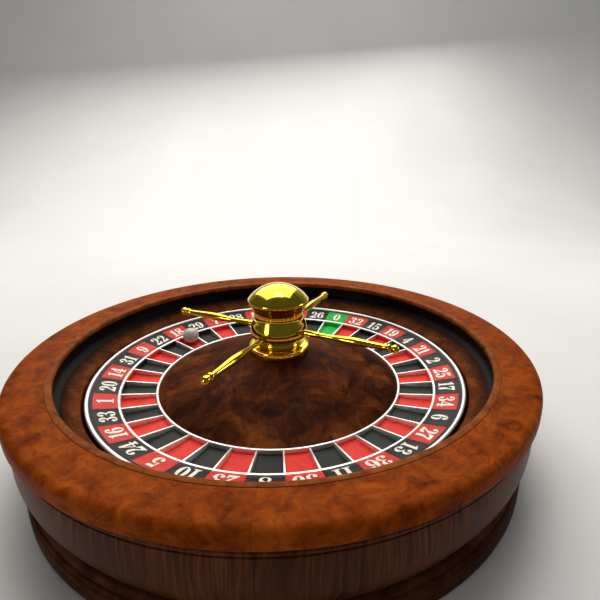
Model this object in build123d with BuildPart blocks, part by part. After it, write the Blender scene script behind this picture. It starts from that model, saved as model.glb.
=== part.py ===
from build123d import *
import math
import os

# Roulette wheel: a mahogany bowl with a ball track, a rotor that spins on a fixed spindle,
# and the ball in one of its thirty-seven pockets.
# Millimetres, +Z up. The origin is on the wheel's axis, at the table top that the feet stand on.

# ---- driving dimensions -------------------------------------------------------------------
RIM_RADIUS = 250.0          # outside of the bowl
RIM_TOP = 100.0             # top of the rim above the table
LIP_RADIUS = 211.0          # inner edge of the lip that overhangs the ball track
TRACK_RADIUS = 215.5        # wall that the ball runs against
ROTOR_RADIUS = 190.5
ROTOR_GAP = 2.5             # running gap between the rotor and the apron
POCKET_COUNT = 37
POCKET_OUTER_RADIUS = 160.0
POCKET_INNER_RADIUS = 127.6
RING_HEIGHT = 62.0          # top of the frets at the pockets' outer edge
CONE_RADIUS = 125.0
CONE_TOP = 89.0
TURRET_RADIUS = 31.5
TURRET_HEIGHT = 72.6
ARM_COUNT = 4
ARM_REACH = 127.6           # from the axis to the end of an arm's ball tip
ARM_HEIGHT = 113.0
BALL_RADIUS = 9.75
SPINDLE_RADIUS = 7.5

# The order of the numbers, clockwise seen from above, starting at the zero. Odd places are red.
ZERO_ANGLE = 65.55          # direction of the zero pocket's middle at rest
ARM_ANGLE = -25.0           # direction of the first arm at rest
BALL_POCKET = 29            # place of the ball's pocket in that order
PITCH = 360 / POCKET_COUNT
FRET_THICKNESS = 1.6        # at its outer end; a fret narrows towards the axis
FRET_ANGLE = math.degrees(FRET_THICKNESS / POCKET_OUTER_RADIUS)

# ---- levels that follow from them ---------------------------------------------------------
FOOT_TOP = 5.0
BOARD_TOP = FOOT_TOP + 12
DISC_BOTTOM = RING_HEIGHT - 24
DISC_TOP = DISC_BOTTOM + 12
APRON_RADIUS = ROTOR_RADIUS + ROTOR_GAP
APRON_LOW = RING_HEIGHT + 7
APRON_HIGH = RING_HEIGHT + 15.6
FRET_INNER_TOP = RING_HEIGHT - 4.5
FLOOR_OUTER = RING_HEIGHT - 6
FLOOR_INNER = FLOOR_OUTER - 2.2
FLOOR_THICKNESS = 1.5
TURRET_TOP = CONE_TOP + TURRET_HEIGHT
ROD_RADIUS = 5.0


def pocket_angle(place):
    """Direction of the middle of a pocket, numbered clockwise from the zero."""
    return ZERO_ANGLE - place * PITCH


def turned_to(angles):
    """One location on the axis for each direction, to repeat a solid made along +X."""
    return [Location((0, 0, 0), (0, 0, angle)) for angle in angles]


RED_PLACES = range(1, POCKET_COUNT, 2)
BLACK_PLACES = range(2, POCKET_COUNT, 2)
RED_ANGLES = [pocket_angle(place) for place in RED_PLACES]
BLACK_ANGLES = [pocket_angle(place) for place in BLACK_PLACES]
GREEN_ANGLES = [pocket_angle(0)]
FRET_ANGLES = [pocket_angle(place + 0.5) for place in range(POCKET_COUNT)]

# =========================== the bowl ======================================================

# Rubber feet, each a short taper with a countersunk hole for its screw.
FOOT_COUNT = 8
FOOT_CIRCLE = 205.0
FOOT_RADIUS = 15.0
SCREW_RADIUS = 2.0
SCREW_HEAD_RADIUS = 4.0
SCREW_HEAD_DEPTH = 2.2
FOOT_RECESS = 1.2
with BuildPart() as rubber_feet:
    with BuildSketch():
        with PolarLocations(FOOT_CIRCLE, FOOT_COUNT):
            Circle(FOOT_RADIUS)
    extrude(amount=FOOT_TOP)
    chamfer(rubber_feet.edges().group_by(Axis.Z)[0], length=1)
    with BuildSketch():
        with PolarLocations(FOOT_CIRCLE, FOOT_COUNT):
            Circle(SCREW_HEAD_RADIUS)
    extrude(amount=FOOT_RECESS, mode=Mode.SUBTRACT)
    with BuildSketch(Plane.XY.offset(FOOT_RECESS)):
        with PolarLocations(FOOT_CIRCLE, FOOT_COUNT):
            Circle(SCREW_HEAD_RADIUS)
    extrude(amount=SCREW_HEAD_DEPTH, mode=Mode.SUBTRACT)
    with BuildSketch():
        with PolarLocations(FOOT_CIRCLE, FOOT_COUNT):
            Circle(SCREW_RADIUS)
    extrude(amount=FOOT_TOP, mode=Mode.SUBTRACT)
rubber_feet.part.label = "rubber_feet"

# The screws that hold the feet, driven up into the base board.
FOOT_SCREW_TIP = BOARD_TOP - 3
with BuildPart() as foot_screws:
    with BuildSketch(Plane.XY.offset(FOOT_RECESS)):
        with PolarLocations(FOOT_CIRCLE, FOOT_COUNT):
            Circle(SCREW_HEAD_RADIUS)
    extrude(amount=SCREW_HEAD_DEPTH)
    with BuildSketch(Plane.XY.offset(FOOT_RECESS + SCREW_HEAD_DEPTH)):
        with PolarLocations(FOOT_CIRCLE, FOOT_COUNT):
            Circle(SCREW_RADIUS)
    extrude(amount=FOOT_SCREW_TIP - FOOT_RECESS - SCREW_HEAD_DEPTH)
    with BuildSketch(Plane.XY.offset(FOOT_RECESS)):
        with PolarLocations(FOOT_CIRCLE, FOOT_COUNT):
            Rectangle(SCREW_HEAD_RADIUS * 1.3, 0.8)
            Rectangle(0.8, SCREW_HEAD_RADIUS * 1.3)
    extrude(amount=1, mode=Mode.SUBTRACT)
foot_screws.part.label = "foot_screws"

# Plywood base board, with a well in the middle for the spindle's nut.
BOARD_RADIUS = 232.0
NUT_WELL_RADIUS = 16.0
PLATE_SCREW_CIRCLE = 34.0
PLATE_SCREW_COUNT = 6
PLATE_SCREW_RADIUS = 2.5
with BuildPart() as base_board:
    with BuildSketch(Plane.XY.offset(FOOT_TOP)):
        Circle(BOARD_RADIUS)
        Circle(NUT_WELL_RADIUS, mode=Mode.SUBTRACT)
        with PolarLocations(PLATE_SCREW_CIRCLE, PLATE_SCREW_COUNT):
            Circle(PLATE_SCREW_RADIUS, mode=Mode.SUBTRACT)
    extrude(amount=BOARD_TOP - FOOT_TOP)
    with BuildSketch(Plane.XY.offset(FOOT_TOP)):
        with PolarLocations(FOOT_CIRCLE, FOOT_COUNT):
            Circle(SCREW_RADIUS)
    extrude(amount=FOOT_SCREW_TIP - FOOT_TOP, mode=Mode.SUBTRACT)
base_board.part.label = "base_board"

# Stained skirting round the bottom of the bowl, with an ogee on its upper edge.
SKIRT_BOTTOM = FOOT_TOP - 2
SKIRT_RADIUS = 243.0
SKIRT_TOP = 27.0
SKIRT_EASE = 1.5            # chamfer of the skirting's lower edge
ROUND_START = 18.0          # level where the ogee's round part begins
ROUND_RADIUS = 3.0
QUIRK = 0.5                 # step between the round and the hollow
WALL_FOOT_RADIUS = 236.0
QUIRK_RADIUS = SKIRT_RADIUS - ROUND_RADIUS - QUIRK
QUIRK_TOP = ROUND_START + ROUND_RADIUS + 2 * QUIRK
HOLLOW_RADIUS = 6.0
with BuildPart() as base_moulding:
    with BuildSketch(Plane.XZ):
        with BuildLine():
            Polyline((WALL_FOOT_RADIUS, SKIRT_TOP), (BOARD_RADIUS, SKIRT_TOP), (BOARD_RADIUS, SKIRT_BOTTOM),
                     (SKIRT_RADIUS - SKIRT_EASE, SKIRT_BOTTOM), (SKIRT_RADIUS, SKIRT_BOTTOM + SKIRT_EASE),
                     (SKIRT_RADIUS, ROUND_START))
            RadiusArc((SKIRT_RADIUS, ROUND_START), (SKIRT_RADIUS - ROUND_RADIUS, ROUND_START + ROUND_RADIUS),
                      ROUND_RADIUS)
            Line((SKIRT_RADIUS - ROUND_RADIUS, ROUND_START + ROUND_RADIUS), (QUIRK_RADIUS, QUIRK_TOP))
            RadiusArc((QUIRK_RADIUS, QUIRK_TOP), (WALL_FOOT_RADIUS, SKIRT_TOP), -HOLLOW_RADIUS)
        make_face()
    revolve(axis=Axis.Z)
base_moulding.part.label = "base_moulding"

# Outer wall of the bowl, coopered from mahogany staves and turned to a swelling outline.
WALL_INNER_RADIUS = 222.0
RIM_BOTTOM = RIM_TOP - 16
WALL_TOP_RADIUS = 244.0
WALL_SWELL_RADIUS = 246.0
WALL_SWELL_LEVEL = 60.0
with BuildPart() as bowl_wall:
    with BuildSketch(Plane.XZ):
        with BuildLine():
            Polyline((WALL_TOP_RADIUS, RIM_BOTTOM), (WALL_INNER_RADIUS, RIM_BOTTOM),
                     (WALL_INNER_RADIUS, BOARD_TOP), (BOARD_RADIUS, BOARD_TOP), (BOARD_RADIUS, SKIRT_TOP),
                     (WALL_FOOT_RADIUS, SKIRT_TOP))
            Spline((WALL_FOOT_RADIUS, SKIRT_TOP), (WALL_SWELL_RADIUS, WALL_SWELL_LEVEL),
                   (WALL_TOP_RADIUS, RIM_BOTTOM), tangents=[(0.25, 1), (-0.55, 1)])
        make_face()
    revolve(axis=Axis.Z)
bowl_wall.part.label = "bowl_wall"

# Broad rim: a flat mahogany ring with a rounded outer edge, rebated over the ball track.
TRACK_TOP = RIM_TOP - 6.5
RIM_INNER_RADIUS = 217.0
RIM_FALL = 1.0              # drop of the rim's top from its outer to its inner edge
RIM_EDGE = 6.0
RIM_UNDER_EDGE = 3.0
with BuildPart() as bowl_rim:
    with BuildSketch(Plane.XZ):
        with BuildLine():
            Polyline((RIM_RADIUS - RIM_EDGE, RIM_TOP), (RIM_INNER_RADIUS, RIM_TOP - RIM_FALL),
                     (RIM_INNER_RADIUS, TRACK_TOP), (WALL_INNER_RADIUS, TRACK_TOP),
                     (WALL_INNER_RADIUS, RIM_BOTTOM), (RIM_RADIUS - RIM_UNDER_EDGE, RIM_BOTTOM))
            RadiusArc((RIM_RADIUS - RIM_UNDER_EDGE, RIM_BOTTOM), (RIM_RADIUS, RIM_BOTTOM + RIM_UNDER_EDGE),
                      -RIM_UNDER_EDGE)
            Line((RIM_RADIUS, RIM_BOTTOM + RIM_UNDER_EDGE), (RIM_RADIUS, RIM_TOP - RIM_EDGE))
            RadiusArc((RIM_RADIUS, RIM_TOP - RIM_EDGE), (RIM_RADIUS - RIM_EDGE, RIM_TOP), -RIM_EDGE)
        make_face()
    revolve(axis=Axis.Z)
bowl_rim.part.label = "bowl_rim"

# Half-round hardwood lip let into the rim, which keeps the ball on its track.
LIP_TOP = RIM_TOP - 0.6
LIP_NOSE = (LIP_TOP - TRACK_TOP) / 2
with BuildPart() as rim_lip:
    with BuildSketch(Plane.XZ):
        with BuildLine():
            Polyline((LIP_RADIUS + LIP_NOSE, LIP_TOP), (RIM_INNER_RADIUS, LIP_TOP),
                     (RIM_INNER_RADIUS, TRACK_TOP), (LIP_RADIUS + LIP_NOSE, TRACK_TOP))
            ThreePointArc((LIP_RADIUS + LIP_NOSE, TRACK_TOP), (LIP_RADIUS, TRACK_TOP + LIP_NOSE),
                          (LIP_RADIUS + LIP_NOSE, LIP_TOP))
        make_face()
    revolve(axis=Axis.Z)
rim_lip.part.label = "rim_lip"

# Black lacquered ball track: an upright wall with a cove at its foot.
TRACK_FOOT_RADIUS = 208.5
TRACK_COVE = 7.0
TRACK_SEAT = APRON_HIGH - 4 # level of the joint between track and apron
APRON_SLOPE = (APRON_HIGH - APRON_LOW) / (TRACK_FOOT_RADIUS - APRON_RADIUS)
with BuildPart() as ball_track:
    with BuildSketch(Plane.XZ):
        with BuildLine():
            Polyline((TRACK_RADIUS, TRACK_TOP), (WALL_INNER_RADIUS, TRACK_TOP),
                     (WALL_INNER_RADIUS, TRACK_SEAT), (TRACK_FOOT_RADIUS, TRACK_SEAT),
                     (TRACK_FOOT_RADIUS, APRON_HIGH))
            Spline((TRACK_FOOT_RADIUS, APRON_HIGH), (TRACK_RADIUS - 1.6, APRON_HIGH + TRACK_COVE - 3.2),
                   (TRACK_RADIUS, APRON_HIGH + TRACK_COVE), tangents=[(1, APRON_SLOPE), (0.12, 1)])
            Line((TRACK_RADIUS, APRON_HIGH + TRACK_COVE), (TRACK_RADIUS, TRACK_TOP))
        make_face()
    revolve(axis=Axis.Z)
ball_track.part.label = "ball_track"

# Sloping apron of burr veneer that the ball runs down, from the track to the rotor.
APRON_BOTTOM = APRON_LOW - 12
APRON_EASE = 1.0            # rounding of the edge over the running gap
WELL_OUTER_RADIUS = 203.0
with BuildPart() as apron:
    with BuildSketch(Plane.XZ):
        with BuildLine():
            Polyline((APRON_RADIUS + APRON_EASE, APRON_LOW), (TRACK_FOOT_RADIUS, APRON_HIGH),
                     (TRACK_FOOT_RADIUS, TRACK_SEAT), (WALL_INNER_RADIUS, TRACK_SEAT),
                     (WALL_INNER_RADIUS, APRON_BOTTOM), (APRON_RADIUS, APRON_BOTTOM),
                     (APRON_RADIUS, APRON_LOW - APRON_EASE))
            RadiusArc((APRON_RADIUS, APRON_LOW - APRON_EASE), (APRON_RADIUS + APRON_EASE, APRON_LOW),
                      APRON_EASE)
        make_face()
    revolve(axis=Axis.Z)
apron.part.label = "apron"

# Turned ring round the rotor's well, which carries the apron's inner edge.
with BuildPart() as rotor_well:
    with BuildSketch(Plane.XY.offset(BOARD_TOP)):
        Circle(WELL_OUTER_RADIUS)
        Circle(APRON_RADIUS, mode=Mode.SUBTRACT)
    extrude(amount=APRON_BOTTOM - BOARD_TOP)
rotor_well.part.label = "rotor_well"

# =========================== spindle and bearings ==========================================

# Steel plate that holds the spindle upright, screwed to the base board.
PLATE_RADIUS = 45.0
PLATE_THICKNESS = 6.0
SPINDLE_FOOT_RADIUS = 10.0
PLATE_TOP = BOARD_TOP + PLATE_THICKNESS
with BuildPart() as spindle_plate:
    with BuildSketch(Plane.XY.offset(BOARD_TOP)):
        Circle(PLATE_RADIUS)
        Circle(SPINDLE_FOOT_RADIUS, mode=Mode.SUBTRACT)
        with PolarLocations(PLATE_SCREW_CIRCLE, PLATE_SCREW_COUNT):
            Circle(PLATE_SCREW_RADIUS, mode=Mode.SUBTRACT)
    extrude(amount=PLATE_THICKNESS)
    chamfer(spindle_plate.edges().filter_by(GeomType.CIRCLE).group_by(SortBy.RADIUS)[-1].sort_by(Axis.Z)[-1],
            length=1.2)
spindle_plate.part.label = "spindle_plate"

# Round-headed screws of that plate, each with a hexagon socket.
PLATE_HEAD_RADIUS = 4.6
PLATE_HEAD_HEIGHT = 3.2
with BuildPart() as plate_screws:
    with BuildSketch(Plane.XY.offset(FOOT_TOP + 1)):
        with PolarLocations(PLATE_SCREW_CIRCLE, PLATE_SCREW_COUNT):
            Circle(PLATE_SCREW_RADIUS)
    extrude(amount=PLATE_TOP - FOOT_TOP - 1)
    with BuildSketch(Plane.XY.offset(PLATE_TOP)):
        with PolarLocations(PLATE_SCREW_CIRCLE, PLATE_SCREW_COUNT):
            Circle(PLATE_HEAD_RADIUS)
    extrude(amount=PLATE_HEAD_HEIGHT)
    fillet(plate_screws.edges().group_by(Axis.Z)[-1], radius=1.2)
    with BuildSketch(Plane.XY.offset(PLATE_TOP + 1.2)):
        with PolarLocations(PLATE_SCREW_CIRCLE, PLATE_SCREW_COUNT):
            RegularPolygon(2, 6)
    extrude(amount=PLATE_HEAD_HEIGHT, mode=Mode.SUBTRACT)
plate_screws.part.label = "plate_screws"

# Fixed steel spindle: threaded foot, shoulder, and the journal that both bearings sit on.
BEARING_WIDTH = 9.0
SHOULDER_TOP = BOARD_TOP + 15
UPPER_BEARING_BOTTOM = RING_HEIGHT
SPINDLE_TOP = UPPER_BEARING_BOTTOM + BEARING_WIDTH + 8
SPINDLE_THREAD_RADIUS = 6.0
THREAD_BOTTOM = FOOT_TOP + 1.5
with BuildPart() as spindle:
    with BuildSketch(Plane.XZ):
        with BuildLine():
            Polyline((0, THREAD_BOTTOM), (SPINDLE_THREAD_RADIUS - 1, THREAD_BOTTOM),
                     (SPINDLE_THREAD_RADIUS, THREAD_BOTTOM + 1), (SPINDLE_THREAD_RADIUS, BOARD_TOP),
                     (SPINDLE_FOOT_RADIUS, BOARD_TOP), (SPINDLE_FOOT_RADIUS, SHOULDER_TOP),
                     (SPINDLE_RADIUS, SHOULDER_TOP), (SPINDLE_RADIUS, SPINDLE_TOP - 1),
                     (SPINDLE_RADIUS - 1, SPINDLE_TOP), (0, SPINDLE_TOP), close=True)
        make_face()
    revolve(axis=Axis.Z)
spindle.part.label = "spindle"

# Nut and washer under the plate that pull the spindle down on its shoulder.
FOOT_NUT_HEIGHT = 7.0
WASHER_THICKNESS = 1.5
with BuildPart() as spindle_washer:
    with BuildSketch(Plane.XY.offset(BOARD_TOP - WASHER_THICKNESS)):
        Circle(NUT_WELL_RADIUS - 1.5)
        Circle(SPINDLE_THREAD_RADIUS, mode=Mode.SUBTRACT)
    extrude(amount=WASHER_THICKNESS)
spindle_washer.part.label = "spindle_washer"

with BuildPart() as spindle_nut:
    with BuildSketch(Plane.XY.offset(BOARD_TOP - WASHER_THICKNESS - FOOT_NUT_HEIGHT)):
        RegularPolygon(11, 6)
        Circle(SPINDLE_THREAD_RADIUS, mode=Mode.SUBTRACT)
    extrude(amount=FOOT_NUT_HEIGHT)
spindle_nut.part.label = "spindle_nut"

# Deep-groove ball bearings, lower and upper: inner ring, outer ring, and balls in their cage.
BEARING_RADIUS = 16.0
BEARING_PITCH_RADIUS = 11.75
BEARING_BALL_RADIUS = 2.35
BEARING_BALLS = 9
RACE_CLEARANCE = 0.15
INNER_RING_RADIUS = 10.2
OUTER_RING_BORE = 13.3
LOWER_BEARING_MIDDLE = SHOULDER_TOP + BEARING_WIDTH / 2
UPPER_BEARING_MIDDLE = UPPER_BEARING_BOTTOM + BEARING_WIDTH / 2
CAGE_THICKNESS = 0.7
CAGE_HEIGHT = 6.0

bearing_pieces = []
for end, middle in (("lower", LOWER_BEARING_MIDDLE), ("upper", UPPER_BEARING_MIDDLE)):
    bottom = middle - BEARING_WIDTH / 2
    with BuildPart() as bearing_inner_ring:
        with BuildSketch(Plane.XY.offset(bottom)):
            Circle(INNER_RING_RADIUS)
            Circle(SPINDLE_RADIUS, mode=Mode.SUBTRACT)
        extrude(amount=BEARING_WIDTH)
        with BuildSketch(Plane.XZ):
            with Locations((BEARING_PITCH_RADIUS, middle)):
                Circle(BEARING_BALL_RADIUS + RACE_CLEARANCE)
        revolve(axis=Axis.Z, mode=Mode.SUBTRACT)
    bearing_inner_ring.part.label = f"{end}_bearing_inner_ring"

    with BuildPart() as bearing_outer_ring:
        with BuildSketch(Plane.XY.offset(bottom)):
            Circle(BEARING_RADIUS)
            Circle(OUTER_RING_BORE, mode=Mode.SUBTRACT)
        extrude(amount=BEARING_WIDTH)
        with BuildSketch(Plane.XZ):
            with Locations((BEARING_PITCH_RADIUS, middle)):
                Circle(BEARING_BALL_RADIUS + RACE_CLEARANCE)
        revolve(axis=Axis.Z, mode=Mode.SUBTRACT)
    bearing_outer_ring.part.label = f"{end}_bearing_outer_ring"

    bearing_pieces += [bearing_inner_ring, bearing_outer_ring]

# Balls of both bearings, and the brass cages that space them.
BEARING_MIDDLES = [(0, 0, LOWER_BEARING_MIDDLE), (0, 0, UPPER_BEARING_MIDDLE)]
with BuildPart() as bearing_balls:
    with Locations(BEARING_MIDDLES):
        with PolarLocations(BEARING_PITCH_RADIUS, BEARING_BALLS):
            Sphere(BEARING_BALL_RADIUS)
bearing_balls.part.label = "bearing_balls"

with BuildPart() as bearing_cages:
    with Locations(BEARING_MIDDLES):
        Cylinder(BEARING_PITCH_RADIUS + CAGE_THICKNESS / 2, CAGE_HEIGHT)
        Cylinder(BEARING_PITCH_RADIUS - CAGE_THICKNESS / 2, CAGE_HEIGHT, mode=Mode.SUBTRACT)
    for middle in (LOWER_BEARING_MIDDLE, UPPER_BEARING_MIDDLE):
        for seat in range(BEARING_BALLS):
            with BuildSketch(Plane.YZ.rotated((0, 0, seat * 360 / BEARING_BALLS))):
                with Locations((0, middle)):
                    Circle(BEARING_BALL_RADIUS)
            extrude(amount=BEARING_PITCH_RADIUS + 2, mode=Mode.SUBTRACT)
bearing_cages.part.label = "bearing_cages"

# Tube that keeps the two inner rings apart on the spindle.
with BuildPart() as bearing_spacer:
    with BuildSketch(Plane.XY.offset(SHOULDER_TOP + BEARING_WIDTH)):
        Circle(SPINDLE_RADIUS + 2)
        Circle(SPINDLE_RADIUS, mode=Mode.SUBTRACT)
    extrude(amount=UPPER_BEARING_BOTTOM - SHOULDER_TOP - BEARING_WIDTH)
bearing_spacer.part.label = "bearing_spacer"

# Nut on the spindle's top that clamps the inner rings.
TOP_NUT_HEIGHT = 6.0
with BuildPart() as spindle_top_nut:
    with BuildSketch(Plane.XY.offset(UPPER_BEARING_BOTTOM + BEARING_WIDTH)):
        RegularPolygon(11, 6)
        Circle(SPINDLE_RADIUS, mode=Mode.SUBTRACT)
    extrude(amount=TOP_NUT_HEIGHT)
    with BuildSketch(Plane.XZ):
        with BuildLine():
            Polyline((9.6, SPINDLE_TOP - 1.4), (12, SPINDLE_TOP - 1.4), (12, SPINDLE_TOP - 3.2), close=True)
        make_face()
    revolve(axis=Axis.Z, mode=Mode.SUBTRACT)
spindle_top_nut.part.label = "spindle_top_nut"

# =========================== the rotor =====================================================

# Aluminium hub that turns on the bearings: sleeve, flange under the disc, and a solid head.
HUB_RADIUS = 22.0
HUB_BOTTOM = BOARD_TOP + 11
HUB_CAVITY_TOP = SPINDLE_TOP + 2
HUB_TOP = HUB_CAVITY_TOP + 5
HUB_FLANGE_RADIUS = 52.0
HUB_FLANGE_THICKNESS = 6.0
HUB_FLANGE_BOTTOM = DISC_BOTTOM - HUB_FLANGE_THICKNESS
HUB_WAIST_RADIUS = 14.6
CIRCLIP_HEIGHT = 1.2
CIRCLIP_GROOVE = 0.9
HUB_SCREW_CIRCLE = 40.0
HUB_SCREW_COUNT = 6
HUB_SCREW_RADIUS = 2.5
with BuildPart() as rotor_hub:
    with BuildSketch(Plane.XZ):
        with BuildLine():
            Polyline((BEARING_RADIUS, HUB_BOTTOM), (HUB_RADIUS, HUB_BOTTOM), (HUB_RADIUS, HUB_FLANGE_BOTTOM),
                     (HUB_FLANGE_RADIUS, HUB_FLANGE_BOTTOM), (HUB_FLANGE_RADIUS, DISC_BOTTOM),
                     (HUB_RADIUS, DISC_BOTTOM), (HUB_RADIUS, HUB_TOP), (ROD_RADIUS, HUB_TOP),
                     (ROD_RADIUS, HUB_CAVITY_TOP), (BEARING_RADIUS, HUB_CAVITY_TOP),
                     (BEARING_RADIUS, UPPER_BEARING_BOTTOM), (HUB_WAIST_RADIUS, UPPER_BEARING_BOTTOM),
                     (HUB_WAIST_RADIUS, SHOULDER_TOP + BEARING_WIDTH),
                     (BEARING_RADIUS, SHOULDER_TOP + BEARING_WIDTH), (BEARING_RADIUS, SHOULDER_TOP),
                     (BEARING_RADIUS + CIRCLIP_GROOVE, SHOULDER_TOP),
                     (BEARING_RADIUS + CIRCLIP_GROOVE, SHOULDER_TOP - CIRCLIP_HEIGHT),
                     (BEARING_RADIUS, SHOULDER_TOP - CIRCLIP_HEIGHT), close=True)
        make_face()
    revolve(axis=Axis.Z)
    with BuildSketch(Plane.XY.offset(HUB_FLANGE_BOTTOM)):
        with PolarLocations(HUB_SCREW_CIRCLE, HUB_SCREW_COUNT, start_angle=30):
            Circle(HUB_SCREW_RADIUS)
    extrude(amount=HUB_FLANGE_THICKNESS, mode=Mode.SUBTRACT)
rotor_hub.part.label = "rotor_hub"

# Spring circlip that holds the hub on the lower bearing.
with BuildPart() as bearing_circlip:
    with BuildSketch(Plane.XY.offset(SHOULDER_TOP - CIRCLIP_HEIGHT)):
        Circle(BEARING_RADIUS + CIRCLIP_GROOVE)
        Circle(BEARING_RADIUS - 2, mode=Mode.SUBTRACT)
        with Locations((BEARING_RADIUS, 0)):
            Rectangle(8, 7, mode=Mode.SUBTRACT)
    extrude(amount=CIRCLIP_HEIGHT)
bearing_circlip.part.label = "bearing_circlip"

# Turned plywood disc that everything on the rotor stands on.
DISC_RADIUS = 184.0
HUB_SCREW_TIP = DISC_TOP - 2
CONE_SCREW_CIRCLE = 92.0
CONE_SCREW_COUNT = 8
RING_SCREW_CIRCLE = 173.0
RING_SCREW_COUNT = 12
WOOD_SCREW_RADIUS = 2.0
WOOD_SCREW_HEAD_RADIUS = 4.0
WOOD_SCREW_HEAD_HEIGHT = 2.4
with BuildPart() as rotor_disc:
    with BuildSketch(Plane.XY.offset(DISC_BOTTOM)):
        Circle(DISC_RADIUS)
        Circle(HUB_RADIUS, mode=Mode.SUBTRACT)
        with PolarLocations(CONE_SCREW_CIRCLE, CONE_SCREW_COUNT):
            Circle(WOOD_SCREW_RADIUS, mode=Mode.SUBTRACT)
        with PolarLocations(RING_SCREW_CIRCLE, RING_SCREW_COUNT):
            Circle(WOOD_SCREW_RADIUS, mode=Mode.SUBTRACT)
    extrude(amount=DISC_TOP - DISC_BOTTOM)
    with BuildSketch(Plane.XY.offset(DISC_BOTTOM)):
        with PolarLocations(HUB_SCREW_CIRCLE, HUB_SCREW_COUNT, start_angle=30):
            Circle(HUB_SCREW_RADIUS)
    extrude(amount=HUB_SCREW_TIP - DISC_BOTTOM, mode=Mode.SUBTRACT)
    with BuildSketch(Plane.XY.offset(DISC_BOTTOM)):
        with PolarLocations(CONE_SCREW_CIRCLE, CONE_SCREW_COUNT):
            Circle(WOOD_SCREW_HEAD_RADIUS)
        with PolarLocations(RING_SCREW_CIRCLE, RING_SCREW_COUNT):
            Circle(WOOD_SCREW_HEAD_RADIUS)
    extrude(amount=WOOD_SCREW_HEAD_HEIGHT, mode=Mode.SUBTRACT)
rotor_disc.part.label = "rotor_disc"

# Screws that hold the hub's flange up against the disc.
HUB_HEAD_RADIUS = 4.6
HUB_HEAD_HEIGHT = 3.0
with BuildPart() as hub_screws:
    with BuildSketch(Plane.XY.offset(HUB_FLANGE_BOTTOM - HUB_HEAD_HEIGHT)):
        with PolarLocations(HUB_SCREW_CIRCLE, HUB_SCREW_COUNT, start_angle=30):
            Circle(HUB_HEAD_RADIUS)
    extrude(amount=HUB_HEAD_HEIGHT)
    fillet(hub_screws.edges().group_by(Axis.Z)[0], radius=1.2)
    with BuildSketch(Plane.XY.offset(HUB_FLANGE_BOTTOM)):
        with PolarLocations(HUB_SCREW_CIRCLE, HUB_SCREW_COUNT, start_angle=30):
            Circle(HUB_SCREW_RADIUS)
    extrude(amount=HUB_SCREW_TIP - HUB_FLANGE_BOTTOM)
    with BuildSketch(Plane.XY.offset(HUB_FLANGE_BOTTOM - HUB_HEAD_HEIGHT)):
        with PolarLocations(HUB_SCREW_CIRCLE, HUB_SCREW_COUNT, start_angle=30):
            RegularPolygon(2, 6)
    extrude(amount=1.8, mode=Mode.SUBTRACT)
hub_screws.part.label = "hub_screws"

# Wood screws through the disc: an inner circle into the cone, an outer one into the number ring.
CONE_SCREW_TIP = DISC_TOP + 12
RING_SCREW_TIP = DISC_TOP + 9
SHANK_BOTTOM = DISC_BOTTOM + WOOD_SCREW_HEAD_HEIGHT
with BuildPart() as cone_screws:
    with BuildSketch(Plane.XY.offset(DISC_BOTTOM)):
        with PolarLocations(CONE_SCREW_CIRCLE, CONE_SCREW_COUNT):
            Circle(WOOD_SCREW_HEAD_RADIUS)
    extrude(amount=WOOD_SCREW_HEAD_HEIGHT)
    with BuildSketch(Plane.XY.offset(SHANK_BOTTOM)):
        with PolarLocations(CONE_SCREW_CIRCLE, CONE_SCREW_COUNT):
            Circle(WOOD_SCREW_RADIUS)
    extrude(amount=CONE_SCREW_TIP - SHANK_BOTTOM)
cone_screws.part.label = "cone_screws"

with BuildPart() as ring_screws:
    with BuildSketch(Plane.XY.offset(DISC_BOTTOM)):
        with PolarLocations(RING_SCREW_CIRCLE, RING_SCREW_COUNT):
            Circle(WOOD_SCREW_HEAD_RADIUS)
    extrude(amount=WOOD_SCREW_HEAD_HEIGHT)
    with BuildSketch(Plane.XY.offset(SHANK_BOTTOM)):
        with PolarLocations(RING_SCREW_CIRCLE, RING_SCREW_COUNT):
            Circle(WOOD_SCREW_RADIUS)
    extrude(amount=RING_SCREW_TIP - SHANK_BOTTOM)
ring_screws.part.label = "ring_screws"

# Black band round the rotor's edge; its top carries on the slope of the number ring.
NUMBER_INNER_RADIUS = 162.3
NUMBER_INNER_TOP = RING_HEIGHT + 0.6
NUMBER_OUTER_TOP = RING_HEIGHT + 5.6
BAND_RING_RADIUS = 186.7
BAND_TOP = RING_HEIGHT + 6.2
with BuildPart() as edge_band:
    with BuildSketch(Plane.XZ):
        with BuildLine():
            Polyline((DISC_RADIUS, DISC_BOTTOM), (ROTOR_RADIUS, DISC_BOTTOM), (ROTOR_RADIUS, BAND_TOP),
                     (BAND_RING_RADIUS, BAND_TOP), (DISC_RADIUS, NUMBER_OUTER_TOP), close=True)
        make_face()
    revolve(axis=Axis.Z)
edge_band.part.label = "edge_band"

# Polished bead on top of that band.
BEAD_WIDTH = 3.4
BEAD_CHAMFER = 1.0          # on the bead's two upper corners
BEAD_TOP = RING_HEIGHT + 8.3
with BuildPart() as outer_bead:
    with BuildSketch(Plane.XY.offset(BAND_TOP)):
        Circle(BAND_RING_RADIUS + BEAD_WIDTH)
        Circle(BAND_RING_RADIUS, mode=Mode.SUBTRACT)
    extrude(amount=BEAD_TOP - BAND_TOP)
    chamfer(outer_bead.edges().group_by(Axis.Z)[-1], length=BEAD_CHAMFER)
outer_bead.part.label = "outer_bead"

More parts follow.
